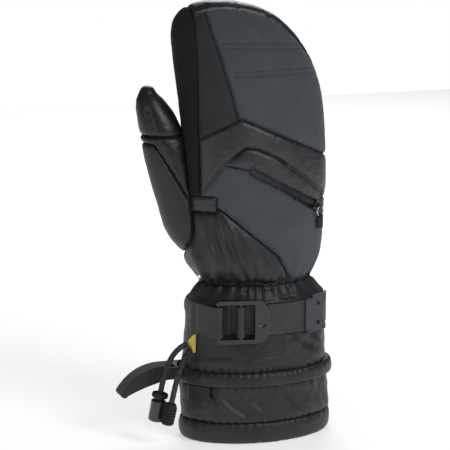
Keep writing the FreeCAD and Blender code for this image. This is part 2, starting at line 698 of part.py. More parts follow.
def make_buckle():
    """The buckle's frame, its two round bars, and the plain dimple in its lifting plate."""
    buckle = doc.addObject("PartDesign::Body", "buckle")
    outline = new_sketch(buckle, "BuckleOutline")
    add_rectangle(
        outline, "-Sizes.bar_diameter / 2", "-(%s) / 2" % BUCKLE_HEIGHT, "Sizes.buckle_length", BUCKLE_HEIGHT,
    )
    frame = buckle.newObject("PartDesign::Pad", "BuckleFrame")
    frame.Profile = outline
    frame.Midplane = True
    frame.setExpression("Length", "Sizes.buckle_wall")
    doc.recompute()
    corners = buckle.newObject("PartDesign::Fillet", "BuckleCorners")
    corners.Base = (frame, edges_where(frame.Shape, lambda middle, way: abs(way.z) > 0.9 and middle.x < 0))
    corners.setExpression("Radius", "Sizes.buckle_wall * 0.8")
    doc.recompute()
    plate = buckle.newObject("PartDesign::Fillet", "PlateCorners")
    plate.Base = (corners, edges_where(corners.Shape, lambda middle, way: abs(way.z) > 0.9 and middle.x > 0))
    plate.setExpression("Radius", "Sizes.buckle_plate")
    doc.recompute()
    window = new_sketch(buckle, "WindowOutline")
    add_rectangle(
        window, "-Sizes.bar_diameter", "Sizes.buckle_rail - (%s) / 2" % BUCKLE_HEIGHT,
        "Sizes.buckle_length - Sizes.buckle_plate + Sizes.bar_diameter / 2",
        "%s - 2 * Sizes.buckle_rail" % BUCKLE_HEIGHT,
    )
    cut = buckle.newObject("PartDesign::Pocket", "Window")
    cut.Profile = window
    cut.Midplane = True
    cut.Type = "ThroughAll"
    for name, place in (("HingeBar", "0"), ("WebbingBar", "Sizes.bar_spacing")):
        circle = new_sketch(buckle, name + "Outline", "XZ_Plane")
        add_circle(circle, place, "0", "Sizes.bar_diameter / 2")
        bar = buckle.newObject("PartDesign::Pad", name)
        bar.Profile = circle
        bar.Midplane = True
        bar.setExpression("Length", "%s - Sizes.buckle_rail" % BUCKLE_HEIGHT)
    dimple = new_sketch(buckle, "DimpleOutline")
    add_circle(
        dimple, "Sizes.buckle_length - Sizes.bar_diameter / 2 - Sizes.buckle_plate / 2", "0.001",
        "Sizes.dimple_diameter / 2",
    )
    dimple.setExpression("AttachmentOffset.Base.z", "Sizes.buckle_wall / 2 - %s" % DIMPLE_DEPTH)
    recess = buckle.newObject("PartDesign::Pocket", "Dimple")
    recess.Profile = dimple
    recess.Reversed = True
    recess.Length = 3
    buckle.Placement = buckle_frame
    doc.recompute()
    keep_object("buckle", buckle)
    return buckle


make_buckle()


def ring_round(point, inner, outer, z_low, z_high):
    """An upright tube of webbing round a bar."""
    outside = Part.makeCylinder(outer, z_high - z_low, Vector(point.x, point.y, z_low))
    inside = Part.makeCylinder(inner, z_high - z_low, Vector(point.x, point.y, z_low))
    return outside.cut(inside)


loop_inner = bar_radius + gap
loop_outer = loop_inner + size.webbing_wall
middle_point = hinge_point + buckle_along * size.bar_spacing
keep("strap_loop", ring_round(middle_point, bar_radius, loop_outer - gap, strap_low, strap_high))


def wrap_band(inner, outer, x_low, x_high, z_low=strap_low, z_high=strap_high):
    """Webbing that lies on the back of the wrist, between two x."""
    ring = cuff_form(outer).cut(cuff_form(inner)).common(slab(z_low, z_high))
    return ring.common(block((x_low, x_high), (-FAR, 0), (z_low, z_high)))


# The anchor webbing: sewn at the left, rolled round the hinge bar, sewn down again under the window.
seam_x = -0.93 * size.wrap_half_width
anchor_pad = wrap_band(0.0, size.webbing_wall, seam_x, middle_x - roll_radius - 1.5)
outer_edge = Vector(seam_x, cuff_y(seam_x, size.webbing_wall) + 0.2, 0)
leg_way = (hinge_point - outer_edge)
leg_way.z = 0
leg_length = leg_way.Length
leg_way.normalize()
leg_side = Vector(-leg_way.y, leg_way.x, 0)
leg_corners = [
    outer_edge - leg_side * size.webbing_wall,
    outer_edge + leg_side * 0.2,
    outer_edge + leg_way * leg_length + leg_side * 0.2,
    outer_edge + leg_way * leg_length - leg_side * loop_outer,
]
anchor_leg = plan_prism([(point.x, point.y) for point in leg_corners], strap_low, strap_high)
anchor_roll = ring_round(hinge_point, loop_inner, loop_outer, strap_low, strap_high)
bar_room = Part.makeCylinder(loop_inner, 60, Vector(hinge_point.x, hinge_point.y, strap_low - 10))
anchor = anchor_leg.fuse(anchor_roll).fuse(anchor_pad).cut(bar_room).cut(cuff_outer)
keep("strap_anchor", largest_solids(anchor, 5.0))

strap_start = middle_x + roll_radius + 1.0
tail_start = middle_x + 3 * roll_radius
strap_end_x = 0.985 * size.wrap_half_width
keep("strap", largest_solids(wrap_band(0.0, size.webbing_wall, strap_start, strap_end_x)))

# The loose tail follows a circle that osculates the wrist, so it can be drawn along itself.
tail_centre = Vector(0, size.wrap_half_width**2 / size.wrap_half_depth - size.wrap_half_depth, 0)
wrist_radius = size.wrap_half_width**2 / size.wrap_half_depth
tail_inner = wrist_radius + size.webbing_wall + gap
tail_outer = tail_inner + size.webbing_wall


def tail_sector(inner, outer, x_low, x_high, z_low, z_high):
    """A bar bent round the tail's centre."""
    outside = Part.makeCylinder(outer, z_high - z_low, tail_centre + Vector(0, 0, z_low))
    inside = Part.makeCylinder(inner, z_high - z_low, tail_centre + Vector(0, 0, z_low))
    return outside.cut(inside).common(block((x_low, x_high), (-FAR, 0), (z_low, z_high)))


tail_split = 0.51 * size.wrap_half_width
keep("strap_tail", tail_sector(tail_inner, tail_outer, tail_start, tail_split, strap_low, strap_high))

end_high = size.strap_centre + 0.6 * size.webbing_width
end_low = size.strap_centre - 0.6 * size.webbing_width
GRIP_LENGTH = 7.0
GRIP_STAND = 1.6
GRIP_PAST_WEBBING = 0.5
PLATE_STAND = 0.6
NOTCH_RADIUS = 22.0
NOTCH_DEPTH = 3.0
HOLE_RADIUS = 1.6
HOLE_FROM_GRIP = 6.0
tip_x = tail_split + size.tail_end_length * math.cos(math.asin(tail_split / wrist_radius)) - 2
plate_x = tail_split + GRIP_LENGTH
end_grip = tail_sector(
    tail_inner, tail_outer + GRIP_STAND, tail_split, plate_x,
    strap_low - GRIP_PAST_WEBBING, strap_high + GRIP_PAST_WEBBING,
)
end_plate = tail_sector(tail_inner, tail_outer + PLATE_STAND, plate_x, tip_x, end_low, end_high)


def drill(radius, x, z):
    """A round tool along Y, from the middle of the cuff to the front."""
    return Part.makeCylinder(radius, FAR, Vector(x, 0, z), Vector(0, -1, 0))


strap_end = end_grip.fuse(end_plate).cut(drill(NOTCH_RADIUS, tip_x + NOTCH_RADIUS - NOTCH_DEPTH, size.strap_centre))
for side in (-1, 1):
    hole_z = size.strap_centre + side * 0.32 * size.webbing_width
    strap_end = strap_end.cut(drill(HOLE_RADIUS, plate_x + HOLE_FROM_GRIP, hole_z))
keep("strap_end", strap_end)

# Reinforcement sewn to the gauntlet under the buckle, pointed at the bottom.
PATCH_WALL = 0.8
PATCH_OUTLINE = [(-52, -0.5), (-45, -2.5), (-33, -8), (-15, -19), (-11, -18), (1.5, -5), (6, -0.5)]
patch_points = [(x, strap_low + below) for x, below in PATCH_OUTLINE]
patch_ring = cuff_form(PATCH_WALL).cut(cuff_outer)
keep("strap_patch", largest_solids(patch_ring.common(front_prism(patch_points)), 5.0))

# ---------------------------------------------------------------- zip slider and its puller

PARK_SHARE = 0.93
slider_angle = arc_first + PARK_SHARE * (arc_last - arc_first)
slider_place = FreeCAD.Placement(zip_frame(slider_angle))
flange_low = groove_radius + gap
plate_low = chain_top + gap
plate_high = plate_low + size.slider_wall


def part_box(name, length, width, height, x, y, z):
    """A Part box with its size bound to the sheet."""
    item = doc.addObject("Part::Box", name)
    bind(item, Length=length, Width=width, Height=height)
    item.Placement = FreeCAD.Placement(Vector(x, y, z), FreeCAD.Rotation())
    return item


def fuse_objects(name, parts):
    item = doc.addObject("Part::MultiFuse", name)
    item.Shapes = parts
    return item


def cut_objects(name, base, tool):
    item = doc.addObject("Part::Cut", name)
    item.Base = base
    item.Tool = tool
    return item


half_slider = size.slider_length / 2
flange_width = (size.slider_width - size.zip_width) / 2 - gap
slider_plate = part_box(
    "SliderPlate", "Sizes.slider_length", "Sizes.slider_width", "Sizes.slider_wall",
    -half_slider, -size.slider_width / 2, plate_low,
)
FLANGE_SINK = 0.1
flanges = []
for side, y in (("Left", -size.slider_width / 2), ("Right", size.slider_width / 2 - flange_width)):
    flange = part_box(
        "Slider%sFlange" % side, "Sizes.slider_length",
        "(Sizes.slider_width - Sizes.zip_width) / 2 - Sizes.running_gap",
        "%.4f" % (plate_low - flange_low + FLANGE_SINK), -half_slider, y, flange_low,
    )
    flanges.append(flange)
LUG_SINK = 0.2
lug = part_box(
    "SliderLug", "Sizes.slider_length / 2", "Sizes.lug_width", "Sizes.lug_height + %s" % LUG_SINK, 0, 0, 0,
)
slider_out = slider_place.Rotation.multVec(Vector(0, 0, 1))
level = Vector(0, 0, 1).cross(slider_out).normalize()
level_local = slider_place.Rotation.inverted().multVec(level)
lug_turn = math.degrees(math.atan2(level_local.y, level_local.x)) - 90
lug.Placement = FreeCAD.Placement(
    Vector(0, 0, plate_high - LUG_SINK), FreeCAD.Rotation(Vector(0, 0, 1), lug_turn)
).multiply(FreeCAD.Placement(Vector(-size.slider_length / 4, -size.lug_width / 2, 0), FreeCAD.Rotation()))
RING_ROOM = 0.1
eye = doc.addObject("Part::Cylinder", "SliderEye")
bind(eye, Radius="Sizes.ring_wire / 2 + Sizes.running_gap + %s" % RING_ROOM, Height="Sizes.slider_length")
eye_z = plate_high + 0.6 * size.lug_height
eye.Placement = FreeCAD.Placement(
    Vector(0, 0, eye_z), FreeCAD.Rotation(Vector(0, 0, 1), lug_turn)
).multiply(FreeCAD.Placement(Vector(0, size.slider_length / 2, 0), FreeCAD.Rotation(Vector(1, 0, 0), 90)))
slider_solid = fuse_objects("SliderSolid", [slider_plate, flanges[0], flanges[1], lug])
zip_slider = cut_objects("zip_slider", slider_solid, eye)
zip_slider.Placement = slider_place
doc.recompute()
keep_object("zip_slider", zip_slider)

eye_point = slider_place.multVec(Vector(0, 0, eye_z))
hang = Vector(0, 0, -1)
ring_normal = level.cross(hang)

ring_radius = size.ring_diameter / 2
ring_centre = eye_point + hang * ring_radius
keep("puller_ring", Part.makeTorus(ring_radius, size.ring_wire / 2, ring_centre, ring_normal))
tab_hole = ring_centre + hang * ring_radius
tab_frame = FreeCAD.Placement(FreeCAD.Matrix(
    level.x, hang.x, ring_normal.x, tab_hole.x,
    level.y, hang.y, ring_normal.y, tab_hole.y,
    level.z, hang.z, ring_normal.z, tab_hole.z,
    0, 0, 0, 1,
))
HEAD_WIDTH = 2.0
HEAD_WALL = 1.0
HOLE_CLEAR = 0.25
PULLER_CORNER = 1.4
hole_radius = size.ring_wire / 2 + HOLE_CLEAR
head_start = Vector(-HEAD_WIDTH / 2, 0, 0)
head = Part.makeCylinder(hole_radius + HEAD_WALL, HEAD_WIDTH, head_start, Vector(1, 0, 0))
plate = Part.makeBox(
    size.puller_width, size.puller_length, size.puller_wall,
    Vector(-size.puller_width / 2, hole_radius + gap, -size.puller_wall / 2),
)
upright_edges = [edge for edge in plate.Edges if abs(edge.tangentAt(0).z) > 0.9]
plate = plate.makeFillet(PULLER_CORNER, upright_edges)
hole = Part.makeCylinder(hole_radius, HEAD_WIDTH, head_start, Vector(1, 0, 0))
keep("puller_tab", head.fuse(plate).cut(hole), tab_frame)

# ---------------------------------------------------------------- drawcord, its anchor, lock and end

side_angle = math.radians(197)
TAB_CLEAR_X = 1.4
TAB_CLEAR_Y = 1.1
TAB_ABOVE_BAND = 14.0
TAB_SINK = 3.0
tab_side = Vector(
    (size.wrap_half_width + TAB_CLEAR_X) * math.cos(side_angle),
    (size.wrap_half_depth + TAB_CLEAR_Y) * math.sin(side_angle), 0,
)
tab_out = Vector(
    tab_side.x / size.wrap_half_width**2, tab_side.y / size.wrap_half_depth**2, 0
).normalize()
tab_right = Vector(0, 0, 1).cross(tab_out)
tab_base = band_top_z + TAB_ABOVE_BAND
tab_place = Vector(tab_side.x, tab_side.y, tab_base)


def on_tab(across, up, out=0.0):
    """A point on the yellow anchor, in its own directions."""
    return tab_place + tab_right * across + Vector(0, 0, up) + tab_out * out


# A swallow-tailed triangle that points up, sewn flat to the side of the cuff.
tab_outline = [(-4.5, 7.0), (-0.2, 5.5), (4.0, 0.0), (4.0, 15.5)]
tab_corners = [on_tab(across, up, -TAB_SINK) for across, up in tab_outline]
tab_face = Part.Face(Part.makePolygon(tab_corners + [tab_corners[0]]))
tab_solid = tab_face.extrude(tab_out * (TAB_SINK + size.tab_wall))
keep("cord_tab", largest_solids(tab_solid.cut(cuff_outer), 2.0))


def cord(label, points):
    """A round cord of straight runs and tangent arcs; prints its arc radii and its length."""
    radius = size.cord_diameter / 2
    edges = []
    start = points[0]
    radii = []
    for before, corner, after in zip(points, points[1:], points[2:]):
        back = before - corner
        ahead = after - corner
        half_turn = (math.pi - back.getAngle(ahead)) / 2
        reach = 0.45 * min(back.Length, ahead.Length)
        arc_radius = reach / math.tan(half_turn)
        radii.append(round(arc_radius, 1))
        first = corner + Vector(back).normalize() * reach
        last = corner + Vector(ahead).normalize() * reach
        to_centre = (Vector(back).normalize() + Vector(ahead).normalize()).normalize()
        centre = corner + to_centre * (arc_radius / math.cos(half_turn))
        middle = centre - to_centre * arc_radius
        edges.append(Part.LineSegment(start, first).toShape())
        edges.append(Part.Arc(first, middle, last).toShape())
        start = last
    edges.append(Part.LineSegment(start, points[-1]).toShape())
    path = Part.Wire(edges)
    way = (points[1] - points[0]).normalize()
    section = Part.Wire(Part.Circle(points[0], way, radius).toShape())
    solid = path.makePipeShell([section], True, False)
    print(label, "radii", radii, "length", round(path.Length, 1),
          "volume ratio", round(solid.Volume / (math.pi * radius**2 * path.Length), 4))
    keep(label, solid)


# Routes of the two free cord ends, from the anchor down to the lock and to the moulded end.
LOCK_ROUTE = [(-61.7, -10.2, 80.0), (-68.0, -11.2, 77.5), (-75.2, -12.0, 70.5), (-80.0, -12.0, 59.5),
              (-83.0, -11.0, 47.5), (-85.0, -10.5, 36.0)]
END_ROUTE = [(-59.9, -13.8, 75.5), (-64.8, -17.5, 72.5), (-70.0, -21.5, 65.5), (-74.5, -24.0, 55.0),
             (-77.5, -24.5, 43.5), (-79.5, -23.5, 33.5)]
lock_route = [Vector(*point) for point in LOCK_ROUTE]
end_route = [Vector(*point) for point in END_ROUTE]
lock_way = (lock_route[-1] - lock_route[-2]).normalize()
end_way = (end_route[-1] - end_route[-2]).normalize()
cord("lock_leg", lock_route)
cord("end_leg", end_route)


def upright_frame(point, axis):
    """A frame at a point whose Z runs along an axis."""
    return FreeCAD.Placement(point, FreeCAD.Rotation(Vector(0, 0, 1), axis))


BORE_SLACK = 0.9
CORD_IN_LOCK = 5.5
lock_up = lock_way * -1
lock_height = size.lock_length + size.button_travel + gap + size.button_rim
lock_bottom = lock_route[-1] + lock_way * (lock_height - CORD_IN_LOCK)
lock_place = upright_frame(lock_bottom, lock_up)
bore_radius = size.cord_diameter / 2 + BORE_SLACK


def make_turned(label, place, profile):
    """A turned piece: a closed half outline of (radius, height) points round the local Z."""
    corners = [Vector(radius, 0, height) for radius, height in profile]
    face = Part.Face(Part.makePolygon(corners + [corners[0]]))
    solid = face.revolve(Vector(0, 0, 0), Vector(0, 0, 1), 360)
    keep(label, solid, place)
    return solid


LOCK_CHAMFER = 1.2
RIM_SWELL = 0.4
lock_radius = size.lock_diameter / 2
cup_radius = lock_radius - size.lock_wall
sleeve_radius = bore_radius + size.sleeve_wall
cup_floor = size.lock_floor
make_turned("lock_barrel", lock_place, [
    (bore_radius, 0), (lock_radius - LOCK_CHAMFER, 0), (lock_radius, LOCK_CHAMFER),
    (lock_radius, size.lock_length),
    (cup_radius, size.lock_length), (cup_radius, cup_floor), (bore_radius, cup_floor),
])
rim_low = size.lock_length + size.button_travel + gap
sleeve_low = cup_floor + size.button_travel + gap + size.spring_room
make_turned("lock_plunger", lock_place, [
    (bore_radius, sleeve_low), (sleeve_radius, sleeve_low), (sleeve_radius, rim_low),
    (lock_radius, rim_low), (lock_radius + RIM_SWELL, rim_low + size.button_rim / 2),
    (lock_radius, rim_low + size.button_rim), (bore_radius, rim_low + size.button_rim),
])
spring_radius = (cup_radius + bore_radius) / 2
coil_height = sleeve_low - cup_floor - size.spring_wire
ARCS_IN_TURN = 6


def coil_point(turns):
    """A point on the spring's centre line, a number of turns up from its start."""
    angle = math.tau * turns
    rise = coil_height * turns / size.spring_turns
    return Vector(spring_radius * math.cos(angle), spring_radius * math.sin(angle), rise)


coil_arcs = []
for number in range(int(size.spring_turns) * ARCS_IN_TURN):
    first, half, last = [(number + share) / ARCS_IN_TURN for share in (0.0, 0.5, 1.0)]
    coil_arcs.append(Part.Arc(coil_point(first), coil_point(half), coil_point(last)).toShape())
coil_way = coil_arcs[0].tangentAt(coil_arcs[0].FirstParameter)
coil_section = Part.Circle(coil_point(0), coil_way, size.spring_wire / 2).toShape()
spring = Part.Wire(coil_arcs).makePipeShell([Part.Wire(coil_section)], True, False)
spring_place = lock_place.multiply(
    FreeCAD.Placement(Vector(0, 0, cup_floor + size.spring_wire / 2), FreeCAD.Rotation())
)
keep("lock_spring", spring, spring_place)

CORD_IN_END = 2.5
END_CHAMFER = 1.5
END_LIP = 1.4
GROOVES = 5
socket_z = size.ferrule_length - CORD_IN_END
end_place = upright_frame(end_route[-1] + end_way * socket_z, end_way * -1)
ferrule_radius = size.ferrule_diameter / 2
groove_bottom = ferrule_radius - size.rib_depth
cord_radius = size.cord_diameter / 2
profile = [(0, 0), (ferrule_radius - END_CHAMFER, 0), (ferrule_radius, END_CHAMFER)]
for step in range(1, GROOVES + 1):
    z = step * size.rib_pitch
    profile += [
        (ferrule_radius, z), (groove_bottom, z + 0.4), (groove_bottom, z + 1.0), (ferrule_radius, z + 1.4),
    ]
profile += [
    (cord_radius + END_LIP, size.ferrule_length), (cord_radius, size.ferrule_length),
    (cord_radius, socket_z), (0, socket_z),
]
make_turned("cord_end", end_place, profile)

# Short webbing tab sewn flat beside the hem.
TAB_FROM_X = -61
TAB_TO_X = -48
TAB_OVER_HEM = 16.0
TAB_RISE = 14.0
flat_tab_low = hem_z + TAB_OVER_HEM
flat_tab = cuff_form(size.webbing_wall).cut(cuff_outer).common(slab(flat_tab_low, flat_tab_low + TAB_RISE))
keep("webbing_tab", largest_solids(flat_tab.common(block((TAB_FROM_X, TAB_TO_X), (-FAR, 0), (0, wrist_z)))))

# ---------------------------------------------------------------- soft pull on the side of the cuff

PULL_Y = 10.5
PULL_CLEAR = 1.0
pull_half = size.pull_width / 2
pull_round = size.pull_wall / 2
pull_hinge = Vector(
    -size.hem_half_width - size.band_stand - PULL_CLEAR - pull_round, PULL_Y,
    size.band_base + size.band_height / 2,
)


def pull_outline():
    """The side of the pull: round at its hinge, it arches outward and turns down to its tip."""
    hinge_z = pull_hinge.z
    reach = size.pull_reach
    root_x = pull_hinge.x
    root_top = Vector(root_x, 0, hinge_z + pull_round)
    root_low = Vector(root_x, 0, hinge_z - pull_round)
    crown = Vector(root_x - 0.55 * reach, 0, hinge_z + 0.10 * reach - 2)
    tip = Vector(root_x - reach, 0, hinge_z - 0.36 * reach)
    heel = Vector(root_x - 0.86 * reach, 0, hinge_z - 0.42 * reach)
    belly = Vector(root_x - 0.47 * reach, 0, hinge_z - 0.27 * reach)
    upper = Part.BSplineCurve()
    upper.interpolate([root_top, crown, tip])
    lower = Part.BSplineCurve()
    lower.interpolate([heel, belly, root_low])
    nose = Part.Arc(tip, (tip + heel) / 2 + Vector(-1.2, 0, -2.4), heel)
    back = Part.Arc(root_low, Vector(root_x + pull_round, 0, hinge_z), root_top)
    return Part.Wire([upper.toShape(), nose.toShape(), lower.toShape(), back.toShape()])


def along_y(radius, half_length):
    """A rod on the pull's hinge line."""
    start = pull_hinge - Vector(0, half_length, 0)
    return Part.makeCylinder(radius, 2 * half_length, start, Vector(0, 1, 0))


pull_face = Part.Face(pull_outline())
pull_face.translate(Vector(0, PULL_Y - pull_half, 0))
pull = pull_face.extrude(Vector(0, size.pull_width, 0))
keep("soft_pull", pull.cut(along_y(size.pull_roll + gap, size.pull_width)))

# Its webbing loop: two ears sewn to the cuff's fold, and the roll that the pull turns on.
ear_reach = pull_half + gap + size.ear_wall
ear_round = pull_round - PULL_CLEAR
ears = along_y(ear_round, ear_reach).fuse(block(
    (pull_hinge.x, -size.hem_half_width + size.pull_wall),
    (PULL_Y - ear_reach, PULL_Y + ear_reach),
    (pull_hinge.z - ear_round, pull_hinge.z + ear_round),
))
pull_room = block(
    (pull_hinge.x - size.pull_reach, pull_hinge.x + pull_round + gap),
    (PULL_Y - pull_half - gap, PULL_Y + pull_half + gap), (0, wrist_z),
)
pull_loop = ears.cut(pull_room).fuse(along_y(size.pull_roll, ear_reach))
keep("pull_anchor", largest_solids(pull_loop.cut(cuff_outer).cut(fold_outer), 5.0))

# ---------------------------------------------------------------- check and write

doc.recompute()
for item in doc.Objects:
    if "Invalid" in item.State or "Error" in item.State:
        raise RuntimeError("%s failed: %s" % (item.Label, item.State))
for item in SUB_PARTS:
    if item.Shape.isNull() or not item.Shape.isValid():
        raise RuntimeError("%s has no valid shape" % item.Label)
    if len(item.Shape.Solids) == 0:
        raise RuntimeError("%s has no solid" % item.Label)

os.makedirs("parts", exist_ok=True)
for item in SUB_PARTS:
    item.Shape.exportStep("parts/%s.step" % item.Label)
    box = item.Shape.BoundBox
    print("%-18s solids %d volume %9.1f x %.1f..%.1f y %.1f..%.1f z %.1f..%.1f" % (
        item.Label, len(item.Shape.Solids), item.Shape.Volume,
        box.XMin, box.XMax, box.YMin, box.YMax, box.ZMin, box.ZMax,
    ))


def report(name, point, axis):
    print("JOINT %s pos %.4f %.4f %.4f axis %.6f %.6f %.6f" % (
        name, point.x, point.y, point.z, axis.x, axis.y, axis.z,
    ))


report("zip_slide", zip_pivot, zip_along.cross(Vector(0, 1, 0)))
report("puller_swing", eye_point, level)
report("buckle_lift", hinge_point, Vector(0, 0, 1))
report("strap_pull", tail_centre, Vector(0, 0, 1))
report("lock_slide", lock_bottom, lock_up)
report("plunger_press", lock_bottom, lock_way)
report("pull_flex", pull_hinge, Vector(0, 1, 0))
print("zip arc from %.2f to %.2f degrees, slider parked at %.2f" % (arc_first, arc_last, slider_angle))
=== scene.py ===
"""Gauntlet ski mitten: every fabric, leather, webbing and moulded piece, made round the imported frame."""

import json
import math

import bmesh
import bpy
import numpy as np
from mathutils import Matrix, Vector, kdtree, noise
from mathutils.bvhtree import BVHTree


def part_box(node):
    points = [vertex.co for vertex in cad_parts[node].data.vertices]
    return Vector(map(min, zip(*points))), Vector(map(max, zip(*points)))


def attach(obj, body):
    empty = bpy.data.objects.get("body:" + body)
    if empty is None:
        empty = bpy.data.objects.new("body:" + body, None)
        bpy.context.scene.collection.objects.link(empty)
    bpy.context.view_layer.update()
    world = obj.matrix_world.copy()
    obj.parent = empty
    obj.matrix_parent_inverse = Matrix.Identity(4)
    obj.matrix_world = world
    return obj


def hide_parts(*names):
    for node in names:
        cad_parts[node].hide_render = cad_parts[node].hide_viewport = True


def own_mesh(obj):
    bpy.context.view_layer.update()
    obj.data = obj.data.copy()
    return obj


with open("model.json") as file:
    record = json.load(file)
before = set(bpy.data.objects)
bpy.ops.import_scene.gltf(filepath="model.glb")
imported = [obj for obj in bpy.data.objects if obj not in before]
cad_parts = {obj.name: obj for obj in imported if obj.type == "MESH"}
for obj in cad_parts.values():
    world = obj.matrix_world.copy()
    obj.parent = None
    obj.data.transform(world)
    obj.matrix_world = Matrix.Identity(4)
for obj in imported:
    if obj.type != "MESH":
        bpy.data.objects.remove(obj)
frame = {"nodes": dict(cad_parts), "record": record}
for spare in ("Cube", "Light", "Camera"):
    if spare in bpy.data.objects:
        bpy.data.objects.remove(bpy.data.objects[spare])
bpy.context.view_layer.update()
nodes = frame["nodes"]
scene = bpy.context.scene

MM = 0.001


def at(x, y, z):
    """A place given in millimetres."""
    return Vector((x, y, z)) * MM


# ------------------------------------------------------------------ camera and light

camera = bpy.data.objects.new("camera", bpy.data.cameras.new("camera"))
scene.collection.objects.link(camera)
scene.camera = camera
VIEW_AZIMUTH = math.radians(-19.4)
VIEW_HEIGHT = math.radians(12)
VIEW_DISTANCE = 1.664
aim = at(-32.5, -20, 177)
away = Vector((
    math.sin(VIEW_AZIMUTH) * math.cos(VIEW_HEIGHT),
    -math.cos(VIEW_AZIMUTH) * math.cos(VIEW_HEIGHT),
    math.sin(VIEW_HEIGHT),
))
camera.location = aim + away * VIEW_DISTANCE
camera.rotation_euler = (-away).to_track_quat("-Z", "Y").to_euler()
camera.data.lens = 168.3
camera.data.clip_start = 0.05
camera.data.clip_end = 20


def add_light(name, place, size, power, target):
    """A square soft box that faces a target."""
    light = bpy.data.lights.new(name, "AREA")
    light.size = size
    light.energy = power
    lamp = bpy.data.objects.new(name, light)
    scene.collection.objects.link(lamp)
    lamp.location = place
    lamp.rotation_euler = (target - place).to_track_quat("-Z", "Y").to_euler()


middle = at(0, 0, 170)
add_light("key_light", Vector((0.75, -1.5, 1.25)), 0.8, 13, middle)
add_light("fill_light", Vector((-1.5, -1.0, 0.5)), 1.0, 2.2, middle)
add_light("rim_light", Vector((0.5, 1.4, 1.2)), 0.9, 11, middle)
scene.view_settings.view_transform = "Standard"

# ------------------------------------------------------------------ the drawcord's two ends

# The routes are the control points of the tubes' own centre lines.
LOCK_ROUTE = [
    (-61.7, -10.2, 80.0), (-68.0, -11.2, 77.5), (-75.2, -12.0, 70.5),
    (-80.0, -12.0, 59.5), (-83.0, -11.0, 47.5), (-85.0, -10.5, 36.0),
]
END_ROUTE = [
    (-59.9, -13.8, 75.5), (-64.8, -17.5, 72.5), (-70.0, -21.5, 65.5),
    (-74.5, -24.0, 55.0), (-77.5, -24.5, 43.5), (-79.5, -23.5, 33.5),
]
CORD_DIAMETER = 4.6


def smooth_line(places, order, steps, thickness=0.0):
    """The mesh of a smooth line through free space, or of a round roll along it when it has a thickness."""
    curve = bpy.data.curves.new("line", "CURVE")
    curve.dimensions = "3D"
    spline = curve.splines.new("NURBS")
    spline.points.add(len(places) - 1)
    for point, place in zip(spline.points, places):
        point.co = (*place, 1)
    spline.order_u = order
    spline.use_endpoint_u = True
    spline.resolution_u = steps
    curve.bevel_depth = thickness / 2 * MM
    curve.bevel_resolution = 4
    curve.use_fill_caps = True
    guide = bpy.data.objects.new("line", curve)
    scene.collection.objects.link(guide)
    mesh = bpy.data.meshes.new_from_object(guide)
    bpy.data.objects.remove(guide)
    return mesh


# ------------------------------------------------------------------ work on meshes


def deselect():
    for piece in bpy.context.selected_objects:
        piece.select_set(False)


def work_on(piece):
    """Make one piece the only selected one, and active."""
    deselect()
    piece.select_set(True)
    bpy.context.view_layer.objects.active = piece


def add_piece(name, mesh):
    piece = bpy.data.objects.new(name, mesh)
    scene.collection.objects.link(piece)
    return piece


def built(name, build):
    mesh = bpy.data.meshes.new(name)
    build.to_mesh(mesh)
    build.free()
    return add_piece(name, mesh)


def welded(name, *labels):
    """A new piece with the shapes of some nodes, its loose triangles joined up."""
    build = bmesh.new()
    for label in labels:
        build.from_mesh(nodes[label].data)
    bmesh.ops.remove_doubles(build, verts=build.verts, dist=2e-6)
    return built(name, build)


def apply(piece, kind, **settings):
    """Add a modifier and apply it."""
    work_on(piece)
    modifier = piece.modifiers.new(kind, kind)
    for key, value in settings.items():
        setattr(modifier, key, value)
    bpy.ops.object.modifier_apply(modifier=modifier.name)


def remesh(piece, step):
    """Give a closed piece an even net of squares, a step in millimetres wide."""
    apply(piece, "REMESH", mode="VOXEL", voxel_size=step * MM, adaptivity=0)


def points_of(piece):
    mesh = piece.data
    found = np.empty(len(mesh.vertices) * 3)
    mesh.vertices.foreach_get("co", found)
    return found.reshape(-1, 3)


def normals_of(piece):
    mesh = piece.data
    found = np.empty(len(mesh.vertices) * 3)
    mesh.vertex_normals.foreach_get("vector", found)
    return found.reshape(-1, 3)


def in_mm(points):
    """Points in millimetres: all of them, then x, y and z."""
    p = points / MM
    return p, p[:, 0], p[:, 1], p[:, 2]


def place_points(piece, points):
    piece.data.vertices.foreach_set("co", points.ravel())
    piece.data.update()


def smooth_look(piece, angle=60):
    work_on(piece)
    bpy.ops.object.shade_smooth_by_angle(angle=math.radians(angle))


def faces_out(piece):
    """Turn every face of a piece outwards."""
    work_on(piece)
    bpy.ops.object.mode_set(mode="EDIT")
    bpy.ops.mesh.select_all(action="SELECT")
    bpy.ops.mesh.normals_make_consistent(inside=False)
    bpy.ops.object.mode_set(mode="OBJECT")


def finished(build, name, angle):
    """A piece from faces that were built one by one, smooth up to an angle in degrees."""
    bmesh.ops.recalc_face_normals(build, faces=build.faces)
    piece = built(name, build)
    smooth_look(piece, angle)
    return piece


def close_ends(build, rings):
    """Cap a tube made of rings of points."""
    build.faces.new(list(reversed(rings[0])))
    build.faces.new(rings[-1])


def surface_of(pieces):
    """A searchable surface made of some pieces."""
    build = bmesh.new()
    for piece in pieces:
        build.from_mesh(piece.data)
    tree = BVHTree.FromBMesh(build)
    build.free()
    return tree


def tree_of(*labels):
    return surface_of([nodes[label] for label in labels])


def distances(points, tree):
    """How far each point is from a surface, in metres."""
    return np.array([tree.find_nearest(Vector(p))[3] for p in points])


# ------------------------------------------------------------------ finishes


def colour(code):
    """A sRGB hex value as linear red, green, blue and alpha."""
    parts = [int(code[i:i + 2], 16) / 255 for i in (1, 3, 5)]
    linear = [c / 12.92 if c <= 0.04045 else ((c + 0.055) / 1.055) ** 2.4 for c in parts]
    return (*linear, 1.0)


